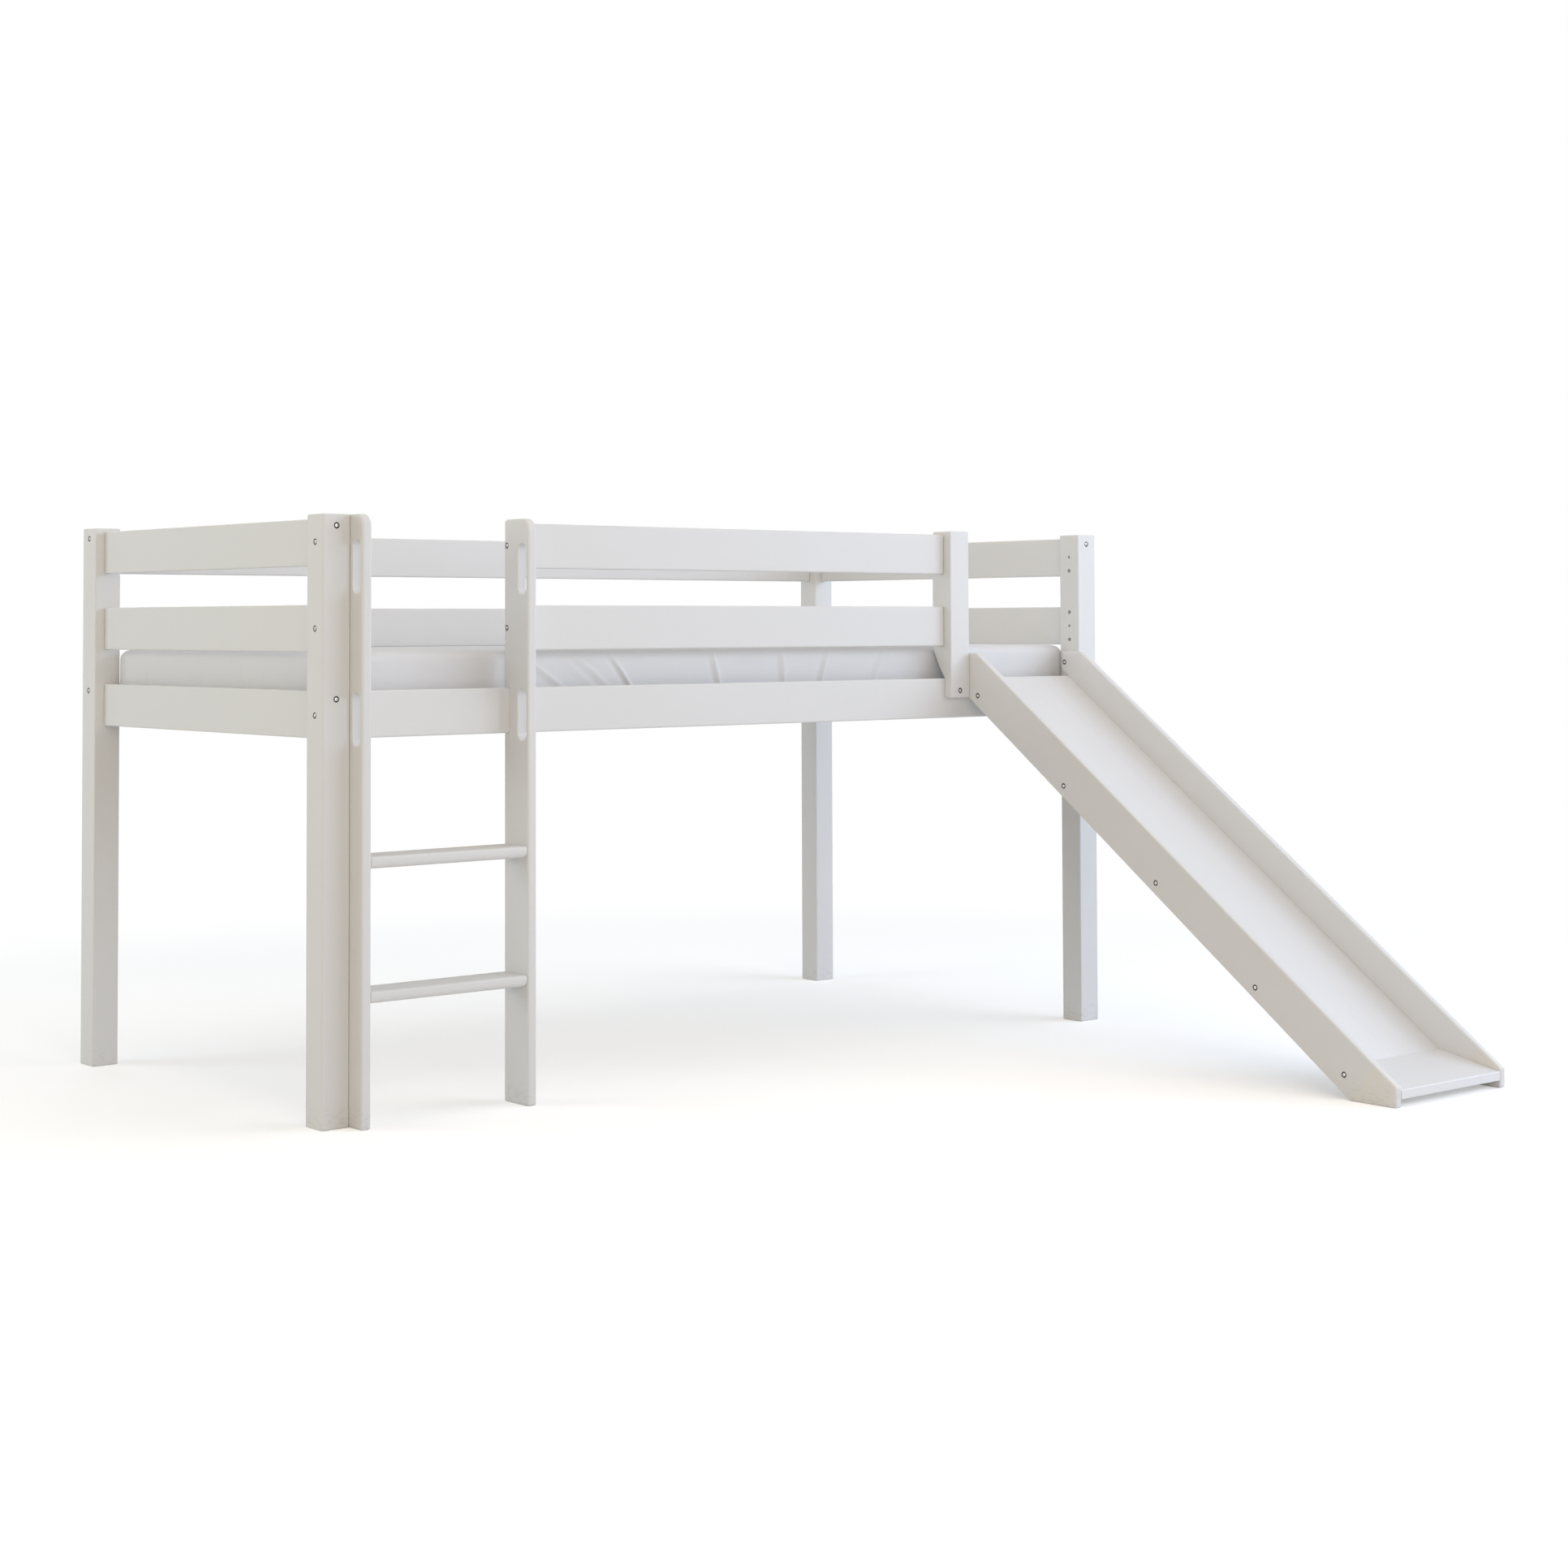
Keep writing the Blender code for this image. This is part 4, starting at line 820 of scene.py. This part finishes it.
class LOFTBED_OT_add_slat_screws(Operator):
    """Add a countersunk screw at each end of every slat"""

    bl_idname = "loftbed.add_slat_screws"
    bl_label = "Add Slat Screws"

    def execute(self, context):
        settings = context.scene.loft_bed.metal
        radius = settings.screw_radius
        places = []
        for name in SLAT_BASE:
            if name in LEDGES:
                continue
            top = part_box(name)[1].z + SCREW_RISE
            for ledge in LEDGES:
                places.append((Vector((middle_of(name).x, middle_of(ledge).y, top)), ALONG_Z))
        shape = add_heads(fastener_head(radius, SCREW_HEIGHT, radius * SCREW_SOCKET_SHARE), places)
        material = plated_steel("zinc_slat_screws", radius, settings)
        link_piece("slat_screws", shape, material, "frame")
        return {"FINISHED"}


class LOFTBED_OT_make_mattress(Operator):
    """Model the mattress: a foam block that fills a knitted cover, with the creases of its fitted hem"""

    bl_idname = "loftbed.make_mattress"
    bl_label = "Make Mattress"

    def execute(self, context):
        settings = context.scene.loft_bed.mattress
        low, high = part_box("mattress")
        shape = self.blank(low, high, settings)
        piece = link_piece("mattress_in_cover", shape, self.knit(settings), "mattress")
        self.fill_cover(context, piece, low.z, settings)
        self.refine(context, piece)
        self.crease(piece, low, high, settings)
        self.hold_clear(piece, low, high, settings)
        piece.data.shade_smooth()
        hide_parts("mattress")
        return {"FINISHED"}

    def blank(self, low, high, settings):
        """A block of even cells with rounded edges, a little smaller than the CAD solid but for its foot."""
        margin = settings.clearance
        base = low + Vector((margin, margin, 0))
        crest = high - Vector((margin, margin, margin))
        centre = (base + crest) / 2
        half = (crest - base) / 2
        cells = (settings.cell, settings.cell, settings.cell * UPRIGHT_CELL_SHARE)
        edges = (settings.corner_radius, settings.corner_radius, settings.top_radius)
        shape = bmesh.new()
        bmesh.ops.create_cube(shape, size=2)
        bmesh.ops.scale(shape, vec=half, verts=shape.verts)
        for direction, reach, cell, edge in zip(AXES, half, cells, edges):
            for step in self.cuts(reach, cell, edge):
                point = Vector(direction) * step
                everything = shape.verts[:] + shape.edges[:] + shape.faces[:]
                bmesh.ops.bisect_plane(
                    shape, geom=everything, dist=CUT_TOLERANCE, plane_co=point, plane_no=direction
                )
        for vert in shape.verts:
            vert.co = self.rounded(vert.co, half, settings) + centre
        return shape

    def cuts(self, reach, cell, edge):
        """Places of the cuts across one axis: even ones over the flat, and closer ones round either edge."""
        count = max(int(2 * reach / cell), 2)
        steps = [(2 * step / count - 1) * reach for step in range(1, count)]
        steps = [step for step in steps if abs(step) < reach - EDGE_ROOM_SHARE * edge]
        steps += [side * (reach - edge * share) for share in EDGE_CUT_SHARES for side in (-1, 1)]
        return sorted(steps)

    def rounded(self, place, half, settings):
        """Moves a point of the plain block on to the padded form."""
        corner = settings.corner_radius
        edge = settings.top_radius if place.z > 0 else settings.under_radius
        rise = max(abs(place.z) - (half.z - edge), 0) / edge
        inset = edge * (1 - math.sqrt(max(1 - rise**2, 0)))
        x, y = place.x, place.y
        over = Vector((abs(x) - half.x + corner, abs(y) - half.y + corner))
        if over.x > 0 and over.y > 0:
            reach = max(over) / over.length
            x = math.copysign(half.x - corner + over.x * reach, x)
            y = math.copysign(half.y - corner + over.y * reach, y)
        return Vector((x * (1 - inset / half.x), y * (1 - inset / half.y), place.z))

    def fill_cover(self, context, piece, floor, settings):
        """Lets cloth that is held along its lower edge bulge under the foam's pressure."""
        scene = context.scene
        verts = piece.data.vertices
        rest = [vert.co.copy() for vert in verts]
        held = piece.vertex_groups.new(name="held_hem")
        hem = [vert.index for vert in verts if vert.co.z < floor + HEM_HEIGHT]
        held.add(hem, 1.0, "REPLACE")
        cloth = piece.modifiers.new("cover_cloth", "CLOTH")
        for key, value in CLOTH.items():
            setattr(cloth.settings, key, value)
        cloth.settings.vertex_group_mass = held.name
        cloth.settings.effector_weights.gravity = 0
        cloth.point_cache.frame_end = settings.frames
        for step in range(1, settings.frames + 1):
            scene.frame_set(step)
        moved = piece.evaluated_get(context.evaluated_depsgraph_get()).to_mesh()
        shifts = [vert.co - start for vert, start in zip(moved.vertices, rest)]
        most = max(shift.length for shift in shifts)
        share = min(settings.swell / most, 1) if most > 0 else 0
        piece.modifiers.remove(cloth)
        scene.frame_set(1)
        for vert, start, shift in zip(verts, rest, shifts):
            vert.co = start + shift * share

    def refine(self, context, piece):
        """Subdivides the whole surface once, and much finer where the cover is creased."""
        smooth = piece.modifiers.new("smooth", "SUBSURF")
        smooth.levels = smooth.render_levels = 1
        finer = bpy.data.meshes.new_from_object(piece.evaluated_get(context.evaluated_depsgraph_get()))
        piece.modifiers.remove(smooth)
        coarse = piece.data
        piece.data = finer
        bpy.data.meshes.remove(coarse)
        finer.name = piece.name
        shape = bmesh.new()
        shape.from_mesh(finer)
        edges = dict.fromkeys(edge for face in shape.faces if self.near_crease(face) for edge in face.edges)
        bmesh.ops.subdivide_edges(shape, edges=list(edges), cuts=FINER_CUTS, use_grid_fill=True)
        shape.to_mesh(finer)
        shape.free()

    def near_crease(self, face):
        middle = face.calc_center_median()
        if face.normal.y < SIDE_NORMAL:
            along, creases = middle.x, FRONT_CREASES
        elif face.normal.x < SIDE_NORMAL:
            along, creases = middle.y, END_CREASES
        else:
            return False
        return any(
            min(foot, tip) - FINER_LEFT * half_width < along < max(foot, tip) + FINER_RIGHT * half_width
            for foot, tip, *_, half_width in creases
        )

    def crease(self, piece, low, high, settings):
        """Raises the pulled folds that rise from the hem, and a slow unevenness of the whole side."""
        front = low.y + settings.under_radius
        end = low.x + settings.under_radius
        height = high.z - low.z
        for vert in piece.data.vertices:
            place = vert.co
            share = (place.z - low.z) / height
            slow = noise.noise(place * UNEVEN_PITCH) * UNEVEN_DEPTH * min(share * UNEVEN_CLIMB, 1)
            if place.y < front:
                rise = sum(self.fold(place.x, share, crease) for crease in FRONT_CREASES)
                vert.co.y = place.y - rise - slow
            elif place.x < end:
                rise = sum(self.fold(place.y, share, crease) for crease in END_CREASES)
                vert.co.x = place.x - rise - slow

    def fold(self, along, share, crease):
        """Height of a fold above the flat cover: a ridge with a shallow trough on its gentler left side."""
        foot, tip, top, depth, half_width = crease
        climb = max((share - RAIL_TOP_SHARE) / (top - RAIL_TOP_SHARE), 0)
        if climb > 1:
            return 0.0
        fade = (1 - climb**FADE_POWER) * min(share / RAIL_TOP_SHARE, 1)
        leant = (tip - foot) * climb**LEAN_POWER
        across = (along - foot - leant) / half_width
        if across < 0:
            across /= LEFT_SLOPE
        trough = TROUGH_SHARE * math.exp(-((across + TROUGH_OFFSET) ** 2))
        return depth * fade * (math.exp(-across * across) - trough)

    def hold_clear(self, piece, low, high, settings):
        """Keeps the cover off the uprights and the end rails that stand beside it."""
        gap = settings.clearance
        beside = [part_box(name) for name in (*POSTS, "guard_post")]
        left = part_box("left_end_rail_low")[1].x + gap
        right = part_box("right_end_rail_low")[0].x - gap
        for vert in piece.data.vertices:
            place = vert.co
            front, rear = low.y - settings.clear_side, high.y + settings.clear_side
            for foot, crest in beside:
                if foot.x - gap < place.x < crest.x + gap:
                    if crest.y < low.y:
                        front = max(front, crest.y + gap)
                    else:
                        rear = min(rear, foot.y - gap)
            vert.co.x = min(max(place.x, left), right)
            vert.co.y = min(max(place.y, front), rear)
            vert.co.z = max(place.z, low.z)

    def knit(self, settings):
        material, tree, shader = new_material("knitted_cover")
        cloth = use_group(tree, "jersey_knit", {"Place": object_place(tree), "Pitch": settings.knit_pitch})
        faint, full = (opaque(settings.colour, tone) for tone in KNIT_TONES)
        colour = blend_colour(tree, cloth["Tone"], faint, full)
        # The gaps between the stitches get a darker colour, which is painted shade.
        painted_gap_shade = opaque(settings.colour, GAP_SHADE_TONE)
        colour = cover_colour(tree, colour, cloth["Stitches"], GAP_SHADE_COVER, painted_gap_shade)
        rough = remap(tree, cloth["Lint"], NOISE, KNIT_ROUGHNESS)
        set_surface(tree, shader, colour, rough, specular=0.2)
        set_inputs(tree, shader, {"Sheen Weight": KNIT_SHEEN})
        height = calculate(tree, "MULTIPLY_ADD", cloth["Lint"], LINT_SHARE, cloth["Stitches"])
        give_bump(tree, shader, height, KNIT_RELIEF, strength=0.6)
        return material


class LOFTBED_OT_set_studio(Operator):
    """Set up the camera, the soft lamps, the even daylight and the pale floor"""

    bl_idname = "loftbed.set_studio"
    bl_label = "Set Studio"

    def execute(self, context):
        scene = context.scene
        settings = scene.loft_bed.studio
        scene.view_settings.view_transform = "Standard"
        self.place_camera(scene, settings)
        for softbox in SOFTBOXES:
            self.hang_lamp(*softbox)
        self.light_world(scene, settings)
        self.lay_floor(settings)
        return {"FINISHED"}

    def place_camera(self, scene, settings):
        data = bpy.data.cameras.new("camera")
        data.sensor_fit = "HORIZONTAL"
        data.lens = settings.focal_length
        data.shift_x, data.shift_y = settings.camera_shift
        data.clip_end = FAR_CLIP
        scene.camera = link_object("camera", data)
        scene.camera.location = settings.camera_place
        scene.camera.rotation_euler = settings.camera_turn

    def hang_lamp(self, side, place, width, height, power, colour):
        data = bpy.data.lights.new(side + "_softbox", "AREA")
        data.shape = "RECTANGLE"
        data.size = width
        data.size_y = height
        data.energy = power
        data.color = colour
        lamp = link_object(data.name, data)
        lamp.location = place
        lamp.rotation_euler = (LAMP_AIM - Vector(place)).to_track_quat("-Z", "Y").to_euler()

    def backdrop_rays(self, tree):
        """1 for the rays that see the backdrop: from the camera, and through gloss or glass."""
        rays = tree.nodes.new("ShaderNodeLightPath").outputs
        seen = calculate(tree, "MAXIMUM", rays["Is Camera Ray"], rays["Is Glossy Ray"])
        return calculate(tree, "MAXIMUM", seen, rays["Is Transmission Ray"])

    def mix(self, tree, share, first, second):
        inputs = {0: share, 1: first.outputs[0], 2: second.outputs[0]}
        return add_node(tree, "ShaderNodeMixShader", inputs)

    def light_world(self, scene, settings):
        world = bpy.data.worlds.new("studio")
        world.use_nodes = True
        scene.world = world
        tree = world.node_tree
        light = tree.nodes["Background"]
        set_inputs(tree, light, {"Color": opaque(settings.daylight_colour), "Strength": settings.daylight})
        white = add_node(tree, "ShaderNodeBackground", {"Color": grey(1.0), "Strength": 1.0})
        mixed = self.mix(tree, self.backdrop_rays(tree), light, white)
        set_inputs(tree, tree.nodes["World Output"], {"Surface": mixed.outputs[0]})

    def lay_floor(self, settings):
        shape = bmesh.new()
        bmesh.ops.create_grid(shape, x_segments=1, y_segments=1, size=FLOOR_HALF_SIZE)
        mesh = mesh_of("floor", shape)
        mesh.materials.append(self.white_floor(settings))
        floor = link_object("floor", mesh)

    def white_floor(self, settings):
        """A floor that shows the camera its shadows, and fades to the backdrop with distance."""
        material, tree, shader = new_material("white_floor")
        tree.nodes.remove(shader)
        reach = settings.floor_reach
        away = length_of(tree, object_place(tree))
        away = remap(tree, away, (reach * FADE_START_SHARE, reach), RISING, smooth=True)
        bounce = add_node(tree, "ShaderNodeBsdfDiffuse", {"Color": grey(BOUNCE_TONE)})
        shade = add_node(tree, "ShaderNodeBsdfDiffuse", {"Color": grey(settings.floor_tone)})
        glow, white = (
            add_node(tree, "ShaderNodeEmission", {"Color": grey(1.0), "Strength": strength})
            for strength in (settings.floor_glow, 1.0)
        )
        near = add_node(tree, "ShaderNodeAddShader", {0: shade.outputs[0], 1: glow.outputs[0]})
        seen = self.mix(tree, away, near, white)
        mixed = self.mix(tree, self.backdrop_rays(tree), bounce, seen)
        set_inputs(tree, tree.nodes["Material Output"], {"Surface": mixed.outputs[0]})
        return material


class LOFTBED_PT_sidebar(Panel):
    """Sizes, colours and steps of the loft bed"""

    bl_idname = "LOFTBED_PT_sidebar"
    bl_label = "Loft Bed"
    bl_space_type = "VIEW_3D"
    bl_region_type = "UI"
    bl_category = "Loft Bed"

    def draw(self, context):
        settings = context.scene.loft_bed
        for name in settings.__annotations__:
            group = getattr(settings, name)
            box = self.layout.box()
            box.label(text=name.capitalize())
            for value in group.__annotations__:
                box.prop(group, value)
        for step in STEPS:
            self.layout.operator(step.bl_idname)


SETTINGS = (PaintSettings, LaminateSettings, TimberSettings, MetalSettings, MattressSettings, StudioSettings)
STEPS = (
    LOFTBED_OT_set_studio,
    LOFTBED_OT_paint_frame,
    LOFTBED_OT_finish_slide,
    LOFTBED_OT_plane_slats,
    LOFTBED_OT_plate_bolts,
    LOFTBED_OT_add_far_bolts,
    LOFTBED_OT_add_slat_screws,
    LOFTBED_OT_make_mattress,
)
CLASSES = (*SETTINGS, LoftBedSettings, *STEPS, LOFTBED_PT_sidebar)


def register():
    for kind in CLASSES:
        bpy.utils.register_class(kind)
    bpy.types.Scene.loft_bed = PointerProperty(type=LoftBedSettings)


def unregister():
    del bpy.types.Scene.loft_bed
    for kind in reversed(CLASSES):
        bpy.utils.unregister_class(kind)


def main():
    register()
    build_groups()
    bpy.ops.loftbed.set_studio()
    bpy.ops.loftbed.paint_frame()
    bpy.ops.loftbed.finish_slide()
    bpy.ops.loftbed.plane_slats()
    bpy.ops.loftbed.plate_bolts()
    bpy.ops.loftbed.add_far_bolts()
    bpy.ops.loftbed.add_slat_screws()
    bpy.ops.loftbed.make_mattress()


if __name__ == "__main__":
    main()
